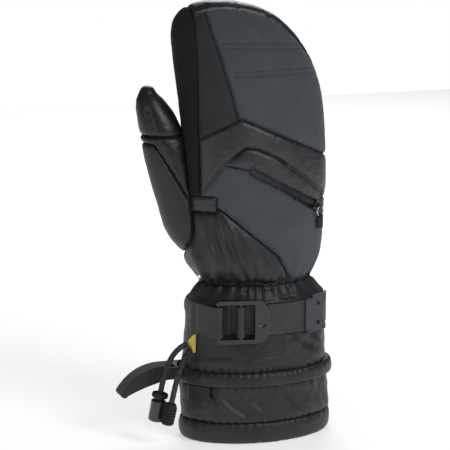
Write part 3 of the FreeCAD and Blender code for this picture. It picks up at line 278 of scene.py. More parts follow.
def add_node(tree, kind, settings=None, **inputs):
    """Add a node; an input is a value, or a (node, output) to link from."""
    node = tree.nodes.new("ShaderNode" + kind)
    for key, value in (settings or {}).items():
        setattr(node, key, value)
    for key, value in inputs.items():
        socket = node.inputs[int(key[1:])] if key[1:].isdigit() else node.inputs[key.replace("_", " ")]
        if isinstance(value, tuple) and len(value) == 2 and isinstance(value[0], bpy.types.Node):
            tree.links.new(value[0].outputs[value[1]], socket)
        else:
            socket.default_value = value
    return node


def ramp_stops(node, stops):
    ramp = node.color_ramp
    while len(ramp.elements) > 1:
        ramp.elements.remove(ramp.elements[-1])
    ramp.elements[0].position = stops[0][0]
    ramp.elements[0].color = colour(stops[0][1])
    for place, code in stops[1:]:
        ramp.elements.new(place).color = colour(code)
    return node


def new_finish(name):
    finish = bpy.data.materials.new(name)
    finish.use_nodes = True
    tree = finish.node_tree
    tree.nodes.clear()
    surface = add_node(tree, "BsdfPrincipled")
    out = add_node(tree, "OutputMaterial")
    tree.links.new(surface.outputs["BSDF"], out.inputs["Surface"])
    return finish, tree, surface


def mottled(name, dark, light, patch, grain, rough, depth, sheen=0.0, rough_spread=0.08, pattern="NOISE",
            coat=0.0, stretch=(1, 1, 1)):
    """A matt or satin finish: two colours in soft patches, and a fine raised grain, both in millimetres."""
    finish, tree, surface = new_finish(name)
    where = add_node(tree, "TexCoord")
    spread = add_node(tree, "Mapping", Vector=(where, "Object"), Scale=stretch)
    patches = add_node(tree, "TexNoise", Vector=(spread, "Vector"), Scale=1 / (patch * MM), Detail=5.0, Roughness=0.6)
    tone = ramp_stops(add_node(tree, "ValToRGB", Fac=(patches, "Fac")), [(0.32, dark), (0.68, light)])
    tree.links.new(tone.outputs["Color"], surface.inputs["Base Color"])
    if pattern == "CELLS":
        relief = add_node(tree, "TexVoronoi", {"feature": "SMOOTH_F1"}, Vector=(spread, "Vector"),
                          Scale=1 / (grain * MM))
        height = (relief, "Distance")
    else:
        relief = add_node(tree, "TexNoise", Vector=(spread, "Vector"), Scale=1 / (grain * MM), Detail=3.0)
        height = (relief, "Fac")
    wear = add_node(tree, "MapRange", Value=(patches, "Fac"), To_Min=rough - rough_spread,
                    To_Max=rough + rough_spread)
    tree.links.new(wear.outputs["Result"], surface.inputs["Roughness"])
    bump = add_node(tree, "Bump", Height=height, Strength=0.6, Distance=depth * MM)
    tree.links.new(bump.outputs["Normal"], surface.inputs["Normal"])
    surface.inputs["Sheen Weight"].default_value = sheen
    surface.inputs["Sheen Roughness"].default_value = 0.5
    surface.inputs["Coat Weight"].default_value = coat
    return finish


def woven(name, dark, light, thread, rough, depth, sheen=0.0, along="Object", patch=22, painted_weave_shade=0.25):
    """Cloth or webbing: over-and-under threads a given width apart, in two close colours, with painted light on the
    threads' crowns and painted shade in their hollows.
    """
    finish, tree, surface = new_finish(name)
    where = add_node(tree, "TexCoord")
    patches = add_node(tree, "TexNoise", Vector=(where, "Object"), Scale=1 / (patch * MM), Detail=4.0)
    tone = ramp_stops(add_node(tree, "ValToRGB", Fac=(patches, "Fac")), [(0.3, dark), (0.7, light)])
    pace = math.tau / (2 * thread * MM)
    waves = []
    for axis in "XY" if along == "UV" else "XZ":
        split = add_node(tree, "SeparateXYZ", Vector=(where, along))
        scaled = add_node(tree, "Math", {"operation": "MULTIPLY"}, _0=(split, axis), _1=pace)
        waves.append(add_node(tree, "Math", {"operation": "SINE"}, _0=(scaled, "Value")))
    weave = add_node(tree, "Math", {"operation": "MULTIPLY"}, _0=(waves[0], "Value"), _1=(waves[1], "Value"))
    lift = add_node(tree, "MapRange", Value=(weave, "Value"), From_Min=-1.0, From_Max=1.0)
    # Painted light and shade: the colour is raised where the weave stands up and lowered where it sinks, by the same
    # wave as the bump.
    shade = add_node(tree, "MapRange", Value=(weave, "Value"), From_Min=-1.0, From_Max=1.0,
                     To_Min=1 - painted_weave_shade, To_Max=1 + painted_weave_shade)
    mixed = add_node(tree, "VectorMath", {"operation": "SCALE"}, Vector=(tone, "Color"), Scale=(shade, "Result"))
    tree.links.new(mixed.outputs["Vector"], surface.inputs["Base Color"])
    bump = add_node(tree, "Bump", Height=(lift, "Result"), Strength=0.7, Distance=depth * MM)
    tree.links.new(bump.outputs["Normal"], surface.inputs["Normal"])
    surface.inputs["Roughness"].default_value = rough
    surface.inputs["Sheen Weight"].default_value = sheen
    return finish


# Brushed stretch softshell: soft, matt and slightly blue-grey, with a fine felted grain.
softshell = mottled("brushed_softshell", "#3b4046", "#474c53", 30, 0.9, 0.86, 0.10, sheen=0.12)
# Coated stretch cloth of the index panel: near black with a green cast, matt.
index_cloth = mottled("matt_coated_cloth", "#181b1e", "#23272a", 24, 0.9, 0.78, 0.10, sheen=0.08)
# Synthetic suede: black nap that swallows the light.
suede = mottled("napped_suede", "#080809", "#101011", 14, 0.6, 0.95, 0.14, sheen=0.04)
# Soft drum-dyed goatskin: brown-black, satin, with pebbled grain about 1.4 mm wide.
leather = mottled("pebbled_goatskin", "#242325", "#373538", 16, 1.4, 0.40, 0.22, pattern="CELLS",
                  rough_spread=0.10)
# The thumb's leather: a darker copy of the goatskin, partly its own darker colour and partly painted shade for the
# thumb's shadowed side, rubbed shiny on its ridges.
thumb_leather = mottled("shade_darkened_goatskin", "#0e0e0f", "#1b1a1c", 14, 1.3, 0.38, 0.22, pattern="CELLS",
                        rough_spread=0.1)
# Taslan nylon: tight dull weave with a soft satin shine on its folds.
nylon = mottled("taslan_nylon", "#15171a", "#1f2225", 26, 0.8, 0.48, 0.06, rough_spread=0.06)
shine_nylon = mottled("satin_nylon", "#131518", "#1f2226", 26, 0.8, 0.44, 0.06, rough_spread=0.06)
# The patch's heavier plain nylon: darker and flatter than the cuff's.
patch_nylon = mottled("plain_pack_nylon", "#131416", "#1c1e21", 20, 0.8, 0.6, 0.08)
# Polyester wadding: off-white loose fibre.
wadding = mottled("polyester_wadding", "#c9c7c0", "#e2e0da", 8, 1.6, 0.95, 0.5, sheen=0.2)
# Laminated film of the insert: thin charcoal sheet, slightly slick.
membrane = mottled("laminated_film", "#141517", "#1e2022", 20, 2.5, 0.5, 0.05)
# Tricot pile lining: warm, dense and matt.
pile = mottled("tricot_pile", "#1d1d20", "#2c2c30", 5, 0.9, 0.95, 0.35, sheen=0.3)
# Nylon strap webbing: ribs about 1.3 mm apart with flat crossing threads, with strong painted light on the ribs and
# painted shade between them.
webbing = woven("ribbed_webbing", "#232327", "#333338", 1.35, 0.50, 0.5, along="UV", painted_weave_shade=0.6)
flat_webbing = woven("flat_webbing", "#121215", "#1c1c20", 0.9, 0.6, 0.25)
tape_cloth = woven("zip_tape_cloth", "#232529", "#2c2e33", 0.5, 0.7, 0.12, along="UV")
elastic_cloth = woven("knitted_elastic", "#202124", "#2b2c30", 0.8, 0.8, 0.2)
# Acetal buckle: smooth dark grey moulding, satin with a faint texture.
acetal = mottled("satin_acetal", "#0c0d0f", "#141518", 30, 0.5, 0.20, 0.006, rough_spread=0.04, coat=0.4)
# Thermoplastic end of the strap: matt mid grey.
soft_plastic = mottled("matt_moulded_grip", "#343238", "#403e45", 24, 0.5, 0.55, 0.03)
# The slider: dark enamelled zinc.
enamel = mottled("enamelled_zinc", "#1a1b1e", "#26272b", 5, 0.6, 0.32, 0.01)
# Monofilament coil: lighter than its tape, its colour raised as a painted highlight along the zip, with a hard shine
# on each turn.
coil_painted_highlight = mottled("monofilament_coil_painted_highlight", "#26272b", "#3a3c41", 4, 0.5, 0.28, 0.01)
thread = mottled("bonded_thread", "#101113", "#1d1e21", 2, 0.4, 0.7, 0.05)
rubber = mottled("matt_rubber", "#0b0b0c", "#161618", 16, 0.7, 0.68, 0.05)
foam_grip = mottled("soft_touch_foam", "#202124", "#2f3034", 16, 0.9, 0.8, 0.12, sheen=0.1)
# Yellow rubberised tab.
yellow = mottled("rubberised_yellow", "#dcc653", "#eedd78", 6, 0.5, 0.55, 0.05)
glossy = mottled("polished_acetal", "#26262b", "#37373d", 18, 0.5, 0.20, 0.01, coat=0.3)
# Braided cord: dark and light flecks, with strong painted light on its strands and painted shade between them.
cord_braid = woven("braided_cord", "#151518", "#3a3a40", 1.1, 0.5, 0.4, along="UV", patch=3, painted_weave_shade=0.7)


def metal(name, code, rough):
    """Bright wire or spring, lightly worn."""
    finish, tree, surface = new_finish(name)
    where = add_node(tree, "TexCoord")
    scuffs = add_node(tree, "TexNoise", Vector=(where, "Object"), Scale=1 / (1.5 * MM), Detail=4.0)
    wear = add_node(tree, "MapRange", Value=(scuffs, "Fac"), To_Min=rough * 0.7, To_Max=rough * 1.5)
    tree.links.new(wear.outputs["Result"], surface.inputs["Roughness"])
    surface.inputs["Base Color"].default_value = colour(code)
    surface.inputs["Metallic"].default_value = 1.0
    return finish


# Nickel-plated ring wire.
nickel = metal("nickel_plate", "#b9b9ba", 0.25)
steel = metal("spring_steel", "#8d8f92", 0.3)


def dress(piece, finish):
    piece.data.materials.clear()
    piece.data.materials.append(finish)


def settle(piece, body, slot, finish, *replaced):
    """Finish a piece: its material, its body, and the nodes that it stands for. The slot is not used."""
    dress(piece, finish)
    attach(piece, body)
    if replaced:
        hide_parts(*replaced)
    return piece


# ------------------------------------------------------------------ seams on the back of the hand

STRIP_EDGE = -52.2
BAND_TOP = [(STRIP_EDGE, 245.9), (-21.0, 262.1), (102.0, 206.8)]
BAND_LOW = [
    (STRIP_EDGE, 200.8), (-35.4, 225.7), (-18.0, 239.2), (-7.2, 237.2),
    (7.8, 229.9), (32.4, 213.0), (50.4, 198.6), (102.0, 150.2),
]
INDEX_SEAM = [(-23.4, 260.8), (-28.8, 285.0), (-36.6, 314.9), (-40.2, 328.9), (-45.0, 361.1)]
WRIST_SEAM = [(STRIP_EDGE, 200.8), (-35.4, 188.4), (-14.4, 170.0), (7.8, 151.8), (24.0, 123.6)]
ZIP_LINE = [(-14.7, 220.6), (48.6, 186.2)]
QUILT_LOW = [(-25.0, 294.5), (12.0, 294.9), (52.0, 293.5)]
QUILT_HIGH = [(-33.0, 317.0), (5.0, 315.0), (43.0, 312.0)]


def shifted(line, across, up):
    return [(x + across, z + up) for x, z in line]


def line_distance(x, z, line):
    """How far points are from a line of runs, how far along it they are, and on which side, in millimetres."""
    best = np.full(x.shape, 1e9)
    along = np.zeros(x.shape)
    side = np.zeros(x.shape)
    done = 0.0
    for (x0, z0), (x1, z1) in zip(line, line[1:]):
        run_x, run_z = x1 - x0, z1 - z0
        length = math.hypot(run_x, run_z)
        share = np.clip(((x - x0) * run_x + (z - z0) * run_z) / length**2, 0, 1)
        near_x, near_z = x0 + share * run_x, z0 + share * run_z
        gap = np.hypot(x - near_x, z - near_z)
        closer = gap < best
        best = np.where(closer, gap, best)
        along = np.where(closer, done + share * length, along)
        side = np.where(closer, np.sign(run_x * (z - z0) - run_z * (x - x0)), side)
        done += length
    return best, along, side


def sewn(x, z, line, depth, reach, pucker=0.35, pace=6.5):
    """How far a row of stitches pulls the cloth in, with small puckers along it."""
    gap, along, _ = line_distance(x, z, line)
    ripple = 1 + pucker * np.sin(math.tau * along / pace + 1.3 * np.sin(along / 9.0))
    return -depth * ripple * np.exp(-((gap / reach) ** 2))


def crease(x, z, line, height, width):
    """A raised fold along a line, with a hollow on one side of it."""
    gap, along, side = line_distance(x, z, line)
    total = sum(math.dist(a, b) for a, b in zip(line, line[1:]))
    fade = np.sin(math.pi * np.clip(along / total, 0.0, 1.0)) ** 0.5
    across = gap * side
    ridge = np.exp(-((across / width) ** 2))
    hollow = np.exp(-(((across - 1.7 * width) / width) ** 2))
    return height * fade * (ridge - 0.7 * hollow)


def ripples(points, scale, seed, octaves=3):
    """Soft uneven waves between -1 and 1; scale is their length in millimetres on each axis."""
    spread = np.array(scale)
    shift = Vector((seed * 7.3, seed * 3.1, seed * 5.7))
    found = [noise.fractal(Vector(p / spread) + shift, 1.0, 2.0, octaves) for p in points]
    return np.array(found)


# Folds of the wrist's nylon, fanning from the leather patch down to the gather.
WRIST_FOLDS = [
    ([(-50, 189), (-47, 163), (-36, 134)], 2.2, 2.6),
    ([(-44, 188), (-36, 163), (-25, 133)], 2.6, 2.8),
    ([(-38, 186), (-26, 160), (-13, 132)], 2.4, 3.0),
    ([(-31, 181), (-17, 157), (-4, 132)], 2.0, 3.0),
    ([(-20, 171), (-7, 151), (4, 132)], 1.7, 2.6),
    ([(-56, 173), (-55, 153), (-46, 134)], 1.8, 2.6),
]
# Creases that the tip seam leaves in the softshell.
TIP_FOLDS = [
    ([(-19, 349), (-11, 335), (-2, 321)], 1.5, 1.6),
    ([(-31, 338), (-24, 330), (-16, 322)], 1.2, 1.4),
    ([(7, 344), (11, 334), (16, 324)], 1.2, 1.5),
    ([(22, 335), (25, 326), (27, 319)], 1.1, 1.4),
]
GATHER_Z = 128.0
THUMB_SEAM = [(-88, 268), (-85, 250), (-76, 230), (-66, 208)]


def wrist_pleats(around):
    """The gathered wrist's narrow pleats, and the wide ones under them, at each angle round the axis."""
    narrow = np.sin(27 * around + 1.6 * np.sin(3 * around) + 0.8 * np.sin(7 * around + 1))
    return narrow, np.sin(11 * around + 2.2 * np.sin(2 * around + 0.6))


def hand_relief(points, normals):
    """How far the hand's outer cloth stands out, in millimetres, from its folds, gathers and stitched rows."""
    p, x, y, z = in_mm(points)
    back = np.clip(-normals[:, 1] * 2.5, 0, 1)
    palm = np.clip(normals[:, 1] * 2.5, 0, 1)
    out = np.zeros(len(p))
    for line, height, width in WRIST_FOLDS:
        out += back * crease(x, z, line, height, width)
    for line, height, width in TIP_FOLDS:
        out += back * crease(x, z, line, height, width)
    for line in (QUILT_LOW, shifted(QUILT_LOW, 0, 3.6), QUILT_HIGH, shifted(QUILT_HIGH, 0, 3.6)):
        out += back * sewn(x, z, line, 0.45, 1.5)
    out += back * (x < -58) * sewn(x, z, THUMB_SEAM, 0.9, 1.2)
    pleats, wide = wrist_pleats(np.arctan2(y, x))
    short = np.exp(-np.clip(z - GATHER_Z, 0, 80) / 9.0)
    long = np.exp(-np.clip(z - GATHER_Z, 0, 80) / 24.0)
    near_hand = z < 188
    out += np.where(near_hand, 1.3 * pleats * short + 1.0 * wide * long * (1 - 0.5 * back), 0)
    waves = ripples(p, (26, 26, 34), 2)
    out += 0.8 * waves * np.clip((203 - z) / 40, 0.25, 1)
    out += palm * 0.5 * ripples(p, (17, 17, 12), 5)
    return out


# ------------------------------------------------------------------ the shell settles as cloth

BACK_PANELS = [
    "side_strip", "crotch_patch", "index_panel", "back_panel", "knuckle_band",
    "zip_facing", "pocket_panel", "palm_leather", "wrist_nylon",
]
THUMB_PANELS = ["thumb_cap", "thumb_gusset", "thumb_leather"]
HAND_CORE = ["waterproof_insert", "hand_lining"]
CORE_WADDING = ["back_insulation", "palm_insulation", "thumb_back_insulation", "thumb_palm_insulation"]
CLOTH_FRAMES = 16


def relax_as_cloth(piece, held, slack, pressure, out_cap, in_cap, spare):
    """Let a skin settle as blown-up cloth. Held points stay, slack ones have spare cloth."""
    rest = points_of(piece)
    for name, weights in (("held", held), ("slack", slack)):
        group = piece.vertex_groups.new(name=name)
        for index, weight in enumerate(weights):
            group.add([index], float(weight), "REPLACE")
    work_on(piece)
    modifier = piece.modifiers.new("Cloth", "CLOTH")
    cloth = modifier.settings
    cloth.quality = 5
    cloth.mass = 0.2
    cloth.tension_stiffness = 25
    cloth.compression_stiffness = 25
    cloth.shear_stiffness = 12
    cloth.bending_stiffness = 0.6
    cloth.tension_damping = 15
    cloth.compression_damping = 15
    cloth.use_pressure = True
    cloth.uniform_pressure_force = pressure
    cloth.effector_weights.gravity = 0
    cloth.vertex_group_mass = "held"
    cloth.vertex_group_shrink = "slack"
    cloth.shrink_min = 0.0
    cloth.shrink_max = -spare
    modifier.collision_settings.use_collision = False
    modifier.point_cache.frame_start = 1
    modifier.point_cache.frame_end = CLOTH_FRAMES
    for step in range(1, CLOTH_FRAMES + 1):
        scene.frame_set(step)
    bpy.ops.object.modifier_apply(modifier=modifier.name)
    scene.frame_set(1)
    move = points_of(piece) - rest
    place_points(piece, rest)
    normals = normals_of(piece)
    length = np.linalg.norm(move, axis=1)
    outward = np.einsum("ij,ij->i", move, normals) >= 0
    cap = np.where(outward, out_cap, in_cap) * MM
    move *= (np.minimum(length, cap) / np.maximum(length, 1e-9))[:, None]
    return rest, move


class Settled:
    """The moves and normals of a settled skin, read at any point near it."""

    def __init__(self, rest, move, normals):
        self.move = move
        self.normals = normals
        self.rest = rest
        self.tree = kdtree.KDTree(len(rest))
        for index, point in enumerate(rest):
            self.tree.insert(Vector(point), index)
        self.tree.balance()

    def read(self, points, reach):
        moves = np.zeros_like(points)
        normals = np.zeros_like(points)
        for row, point in enumerate(points):
            found = self.tree.find_n(Vector(point), 8)
            index = [item[1] for item in found]
            gap = np.array([item[2] for item in found])
            weight = np.exp(-((gap - gap[0]) / (reach * MM)) ** 2) + 1e-9
            weight /= weight.sum()
            moves[row] = weight @ self.move[index]
            normals[row] = weight @ self.normals[index]
        normals /= np.maximum(np.linalg.norm(normals, axis=1), 1e-9)[:, None]
        return moves, normals


def hand_skin():
    """The hand and thumb as one coarse skin, blown up and settled between its seams."""
    panels = BACK_PANELS + THUMB_PANELS
    skin = welded("settling_skin", *panels, *HAND_CORE, *CORE_WADDING, "pocket_bag", "zip_tape")
    remesh(skin, 3.0)
    points = points_of(skin)
    trees = {label: tree_of(label) for label in panels}
    gaps = np.array([distances(points, trees[label]) for label in panels])
    order = np.sort(gaps, axis=0)
    nearest = np.argmin(gaps, axis=0)
    outer = order[0] < 1.6 * MM
    seam = np.exp(-((order[1] / (2.6 * MM)) ** 2))
    held = np.where(outer, np.clip(seam * 1.1, 0.01, 1), 1.0)
    held = np.where(points[:, 2] < 131 * MM, 1.0, held)
    loose = {"wrist_nylon": 1.0, "thumb_leather": 1.0, "thumb_gusset": 0.9, "thumb_cap": 0.6,
             "palm_leather": 0.7, "knuckle_band": 0.35, "pocket_panel": 0.6, "crotch_patch": 0.6}
    slack = np.array([loose.get(panels[i], 0.25) for i in nearest]) * outer
    normals = normals_of(skin)
    rest, move = relax_as_cloth(skin, held, slack, 3.0, 3.4, 2.0, 0.10)
    bpy.data.objects.remove(skin)
    keep = np.flatnonzero(outer)
    return Settled(rest[keep], move[keep], normals[keep])


settled = hand_skin()
PANEL_STEP = 1.25
SEAM_ROLL = 1.1
ZIP_TUCK = 0.5
THUMB_TIP = (-85.0, 15.0, 283.0)


def rounded_thumb(points):
    """Moves that turn the thumb's blunt end into a dome, the same for each of its layers."""
    p = points / MM
    reach = np.hypot(p[:, 0] - THUMB_TIP[0], p[:, 1] - THUMB_TIP[1])
    near = np.clip((p[:, 2] - 266.0) / (THUMB_TIP[2] - 266.0), 0, 1) * (p[:, 2] < THUMB_TIP[2] + 3)
    dome = 2.0 - 3.0 * np.clip(reach / 7.0, 0, 1) ** 2
    moves = np.zeros_like(points)
    moves[:, 2] = dome * near**2 * np.clip((12.0 - reach) / 5.0, 0, 1) * MM
    return moves


def away_from_zip(points, normals):
    """0 beside the zip, whose tape holds the cloth still so that the slider can run, and 1 away from it."""
    p = points / MM
    gap, _, _ = line_distance(p[:, 0], p[:, 2], ZIP_LINE)
    return 1 - np.exp(-((gap / 9.0) ** 2)) * (normals[:, 1] < 0.2)


def hand_push(points):
    """Where the hand's layers move to: the settled cloth and its folds."""
    moves, normals = settled.read(points, 2.2)
    relief = hand_relief(points, normals)
    loose = away_from_zip(points, normals)
    return moves * loose[:, None] + rounded_thumb(points), normals, relief * loose, loose


def sew_panel(label, slot, finish, crown, wrinkle):
    """One cut panel of the shell: it swells between its seams and rolls in at them."""
    panel = welded(label + "_cloth", label)
    remesh(panel, PANEL_STEP)
    points = points_of(panel)
    others = [name for name in BACK_PANELS + THUMB_PANELS if name != label]
    gap = distances(points, tree_of(*others)) / MM
    moves, normals, relief, loose = hand_push(points)
    swell = crown * (1 - np.exp(-gap / 5.0)) * loose - ZIP_TUCK * (1 - loose)
    roll = -SEAM_ROLL * np.exp(-((gap / 1.3) ** 2))
    lift = relief * (0.35 + 0.65 * np.clip(gap / 5.0, 0, 1)) + swell + roll
    if wrinkle:
        creased = ripples(points / MM, (15, 15, 7), 12, 3)
        lift -= wrinkle * np.exp(-((creased / 0.10) ** 2)) * np.clip(gap / 2.0, 0, 1)
    place_points(panel, points + moves + normals * lift[:, None] * MM)
    apply(panel, "SMOOTH", factor=0.5, iterations=2)
    smooth_look(panel, 80)
    settle(panel, "mitten", slot, finish, label)
    return panel


# Each panel's slot, finish, crown and wrinkle depth in millimetres.
PANELS = {
    "back_panel": ("softshell", softshell, 1.3, 0.0),
    "pocket_panel": ("softshell", softshell, 1.0, 0.0),
    "index_panel": ("suede", index_cloth, 0.9, 0.0),
    "side_strip": ("suede", suede, 0.7, 0.0),
    "crotch_patch": ("leather", leather, 0.9, 0.35),
    "knuckle_band": ("leather", leather, 1.1, 0.30),
    "zip_facing": ("leather", leather, 0.7, 0.30),
    "wrist_nylon": ("nylon", shine_nylon, 1.4, 0.0),
    # The palm, the thumb cap and the thumb take the goatskin darkened partly with painted shade.
    "palm_leather": ("leather", thumb_leather, 1.2, 0.35),
    "thumb_cap": ("leather", thumb_leather, 1.0, 0.22),
    "thumb_leather": ("leather", thumb_leather, 1.2, 0.32),
    "thumb_gusset": ("nylon", nylon, 1.2, 0.0),
}
shell = {label: sew_panel(label, *cut) for label, cut in PANELS.items()}


def split_long_edges(piece, reach):
    """Divide edges over a reach in millimetres, so that a thin layer can bend."""
    build = bmesh.new()
    build.from_mesh(piece.data)
    for _ in range(5):
        long_edges = [edge for edge in build.edges if edge.calc_length() > reach * MM]
        if not long_edges:
            break
        bmesh.ops.subdivide_edges(build, edges=long_edges, cuts=1)
        bmesh.ops.triangulate(build, faces=[face for face in build.faces if len(face.verts) > 3])
    build.to_mesh(piece.data)
    build.free()


def inner_layer(label, name, step, slot, finish, draw_in):
    """A hidden layer of the hand: it follows the shell's folds, a little drawn in."""
    layer = welded(name, label)
    if step:
        remesh(layer, step)
    else:
        split_long_edges(layer, 6)
    points = points_of(layer)
    own = normals_of(layer)
    moves, normals, relief, loose = hand_push(points)
    facing_out = np.clip(np.einsum("ij,ij->i", own, normals), 0, 1)
    lift = relief - draw_in * facing_out
    place_points(layer, points + moves + normals * lift[:, None] * MM)
    smooth_look(layer, 80)
    settle(layer, "mitten", slot, finish, label)


inner_layer("waterproof_insert", "laminated_insert", 0, "membrane", membrane, 0.5)
for label in CORE_WADDING:
    inner_layer(label, label + "_quilt", 2.6, "padding", wadding, 0.9)
inner_layer("hand_lining", "hand_pile_lining", 0, "pile", pile, 0.0)
inner_layer("pocket_bag", "pocket_cloth", 0, "nylon", nylon, 0.6)

# ------------------------------------------------------------------ the cuff

STRAP_LOW, STRAP_HIGH = 89.5, 114.5
HEM_Z = 17.0
SHOULDER_Z = 116.5
CORD_TUCK = 1.0
FOLD_LOW, FOLD_HIGH = 47.5, 59.0
HEM_FOLDS = [
    ([(-54, 46), (-50, 34), (-45, 19)], 1.7, 2.4),
    ([(-47, 45), (-38, 32), (-22, 19)], 1.8, 2.8),
    ([(-30, 44), (-18, 32), (-4, 18)], 1.3, 2.8),
    ([(4, 44), (14, 31), (26, 19)], 1.2, 3.0),
    ([(38, 45), (45, 32), (50, 19)], 1.3, 2.6),
]
UPPER_FOLDS = [
    ([(-50, 85), (-38, 74), (-22, 62)], 0.8, 3.2),
    ([(14, 86), (28, 75), (48, 63)], 1.0, 3.4),
    ([(30, 88), (42, 78), (56, 70)], 0.8, 2.8),
]


def gather_relief(x, y, z):
    """Pleats of the gathered wrist, which fade away from the elastic on both sides."""
    pleats, wide = wrist_pleats(np.arctan2(y, x))
    below = np.clip(GATHER_Z - z, 0, 80)
    return 1.3 * pleats * np.exp(-below / 7.0) + 1.0 * wide * np.exp(-below / 11.0)


def under_strap(x, y, z):
    """1 where the strap, its patch or its tab lies on the cuff, and 0 away from them."""
    band = np.clip((z - STRAP_LOW + 4) / 3, 0, 1) * np.clip((STRAP_HIGH + 3 - z) / 3, 0, 1) * (x > -58) * (x < 60)
    patch = np.clip((z - 68) / 3, 0, 1) * np.clip((92 - z) / 3, 0, 1) * (x > -56) * (x < 10)
    return np.maximum(band, patch) * (y < 0)


def row_pucker(x, y):
    """Small puckers round the cuff, as its stitched rows draw the cloth."""
    around = np.arctan2(y, x)
    return np.sin(46 * around + 1.7 * np.sin(5 * around))


def cuff_relief(points, normals):
    """How far the cuff's cloth stands out, in millimetres."""
    p, x, y, z = in_mm(points)
    back = np.clip(-normals[:, 1] * 2.5, 0, 1)
    out = gather_relief(x, y, z)
    for line, height, width in HEM_FOLDS + UPPER_FOLDS:
        out += back * crease(x, z, line, height, width)
    waves = ripples(p, (24, 24, 16), 3)
    out += 1.3 * waves * np.clip((GATHER_Z - z) / 15, 0, 1)
    pucker = row_pucker(x, y)
    for edge, reach in ((HEM_Z, 2.4), (FOLD_LOW, 2.0), (FOLD_HIGH, 3.2)):
        near = np.exp(-(((z - edge) / reach) ** 2))
        out += near * (0.55 * pucker - 0.7)
    out -= 1.6 * np.exp(-(((z - SHOULDER_Z) / 4.5) ** 2))
    covered = under_strap(x, y, z)
    return out * (1 - covered) - 0.5 * covered


def cuff_piece(labels, name, step, relief, rounds, slot, finish):
    """A layer of the cuff, moved by a relief along the cuff's own outward direction."""
    piece = welded(name, *labels)
    if step:
        remesh(piece, step)
    else:
        split_long_edges(piece, 5)
    points = points_of(piece)
    outward = points * np.array([1 / 63.0**2, 1 / 41.0**2, 0])
    outward /= np.maximum(np.linalg.norm(outward, axis=1), 1e-9)[:, None]
    lift = relief(points, outward)
    place_points(piece, points + outward * lift[:, None] * MM)
    if rounds:
        apply(piece, "SMOOTH", factor=0.5, iterations=rounds)
    smooth_look(piece, 80)
    settle(piece, "mitten", slot, finish, *labels)


def drawn_in(amount):
    """Inner layers keep the cloth's folds at less height, and lie a little away from it."""
    return lambda points, outward: 0.55 * cuff_relief(points, outward) - amount


def hem_relief(points, outward):
    """The turned hem: full between its stitch row and its edge, and puckered at the row."""
    p, x, y, z = in_mm(points)
    pucker = row_pucker(x, y)
    swell = 0.8 * np.sin(math.pi * np.clip(z / HEM_Z, 0, 1)) ** 0.7
    edge = 1.1 * np.exp(-((z / 2.2) ** 2))
    row = np.exp(-(((z - HEM_Z) / 3.0) ** 2))
    slow = ripples(p, (30, 30, 12), 8)
    return swell - edge + row * (0.5 * pucker - 0.7) + 0.8 * slow * np.clip(z / 6, 0.2, 1)


def fold_relief(points, outward):
    """The rolled fold: round in section, with a gathered upper edge and soft dents."""
    p, x, y, z = in_mm(points)
    around = np.arctan2(y, x)
    middle = (FOLD_LOW + FOLD_HIGH) / 2 - 1.0
    half = (FOLD_HIGH - FOLD_LOW) / 2
    share = np.clip(np.abs(z - middle) / half, 0, 1.15)
    round_off = 1.3 * share**3.0
    pucker = np.sin(52 * around + 1.9 * np.sin(5 * around))
    upper = np.clip((z - middle) / half, 0, 1) ** 1.5
    wave = ripples(p, (20, 20, 30), 6)
    return -0.1 - round_off + 0.4 * pucker * upper + 0.8 * wave


cuff_piece(["gauntlet"], "gauntlet_cloth", 1.05, cuff_relief, 2, "nylon", nylon)
cuff_piece(["fold_band"], "rolled_fold", 0.8, fold_relief, 5, "nylon", nylon)
cuff_piece(["hem_band"], "turned_hem", 1.1, hem_relief, 4, "nylon", nylon)
for label in ("cuff_back_insulation", "cuff_palm_insulation", "neck_insulation"):
    cuff_piece([label], label + "_quilt", 1.5, drawn_in(0.5), 0, "padding", wadding)
cuff_piece(["cuff_lining"], "cuff_pile_lining", 0, drawn_in(0.3), 0, "pile", pile)
cuff_piece(["cuff_drawcord"], "channel_cord", 0, lambda points, outward: np.full(len(points), -CORD_TUCK), 0, "cord",
           cord_braid)
cuff_piece(["wrist_elastic"], "gathering_elastic", 0, drawn_in(0.4), 0, "elastic", elastic_cloth)


# ------------------------------------------------------------------ webbing

HINGE_BAR = (-43.25, -35.01)
MIDDLE_BAR = (-25.93, -39.14)
WEBBING_WALL = 1.6


def even_line(points, step):
    """Points a step apart along a line of runs, in millimetres."""
    lengths = [math.dist(a, b) for a, b in zip(points, points[1:])]
    total = sum(lengths)
    count = max(2, int(total / step))
    found = []
    for number in range(count + 1):
        left = total * number / count
        index = 0
        while index < len(lengths) - 1 and left > lengths[index]:
            left -= lengths[index]
            index += 1
        share = left / lengths[index]
        a, b = points[index], points[index + 1]
        found.append(tuple(p + (q - p) * share for p, q in zip(a, b)))
    return found


def webbing_run(name, plan, low, high, finish, body, slot, *replaced, wall=WEBBING_WALL):
    """Flat webbing stood on edge along a line seen from above; its weave follows its length."""
    line = even_line(plan, 0.9)
    rows = 14
    deselect()
    bpy.ops.mesh.primitive_grid_add(x_subdivisions=len(line) - 1, y_subdivisions=rows, size=1, calc_uvs=True)
    piece = bpy.context.active_object
    piece.name = name
    mesh = piece.data
    long = sum(math.dist(a, b) for a, b in zip(line, line[1:]))
    wide = high - low
    for vertex in mesh.vertices:
        u, v = vertex.co.x + 0.5, vertex.co.y + 0.5
        x, y = line[round(u * (len(line) - 1))]
        vertex.co = at(x, y, low + v * wide)
    for corner in mesh.uv_layers.active.data:
        corner.uv = (corner.uv.x * long * MM, corner.uv.y * wide * MM)
    apply(piece, "SOLIDIFY", thickness=wall * MM, offset=0, use_even_offset=True)
    apply(piece, "BEVEL", width=0.35 * MM, segments=2, limit_method="ANGLE", angle_limit=math.radians(50))
    faces_out(piece)
    smooth_look(piece, 50)
    return settle(piece, body, slot, finish, *replaced)


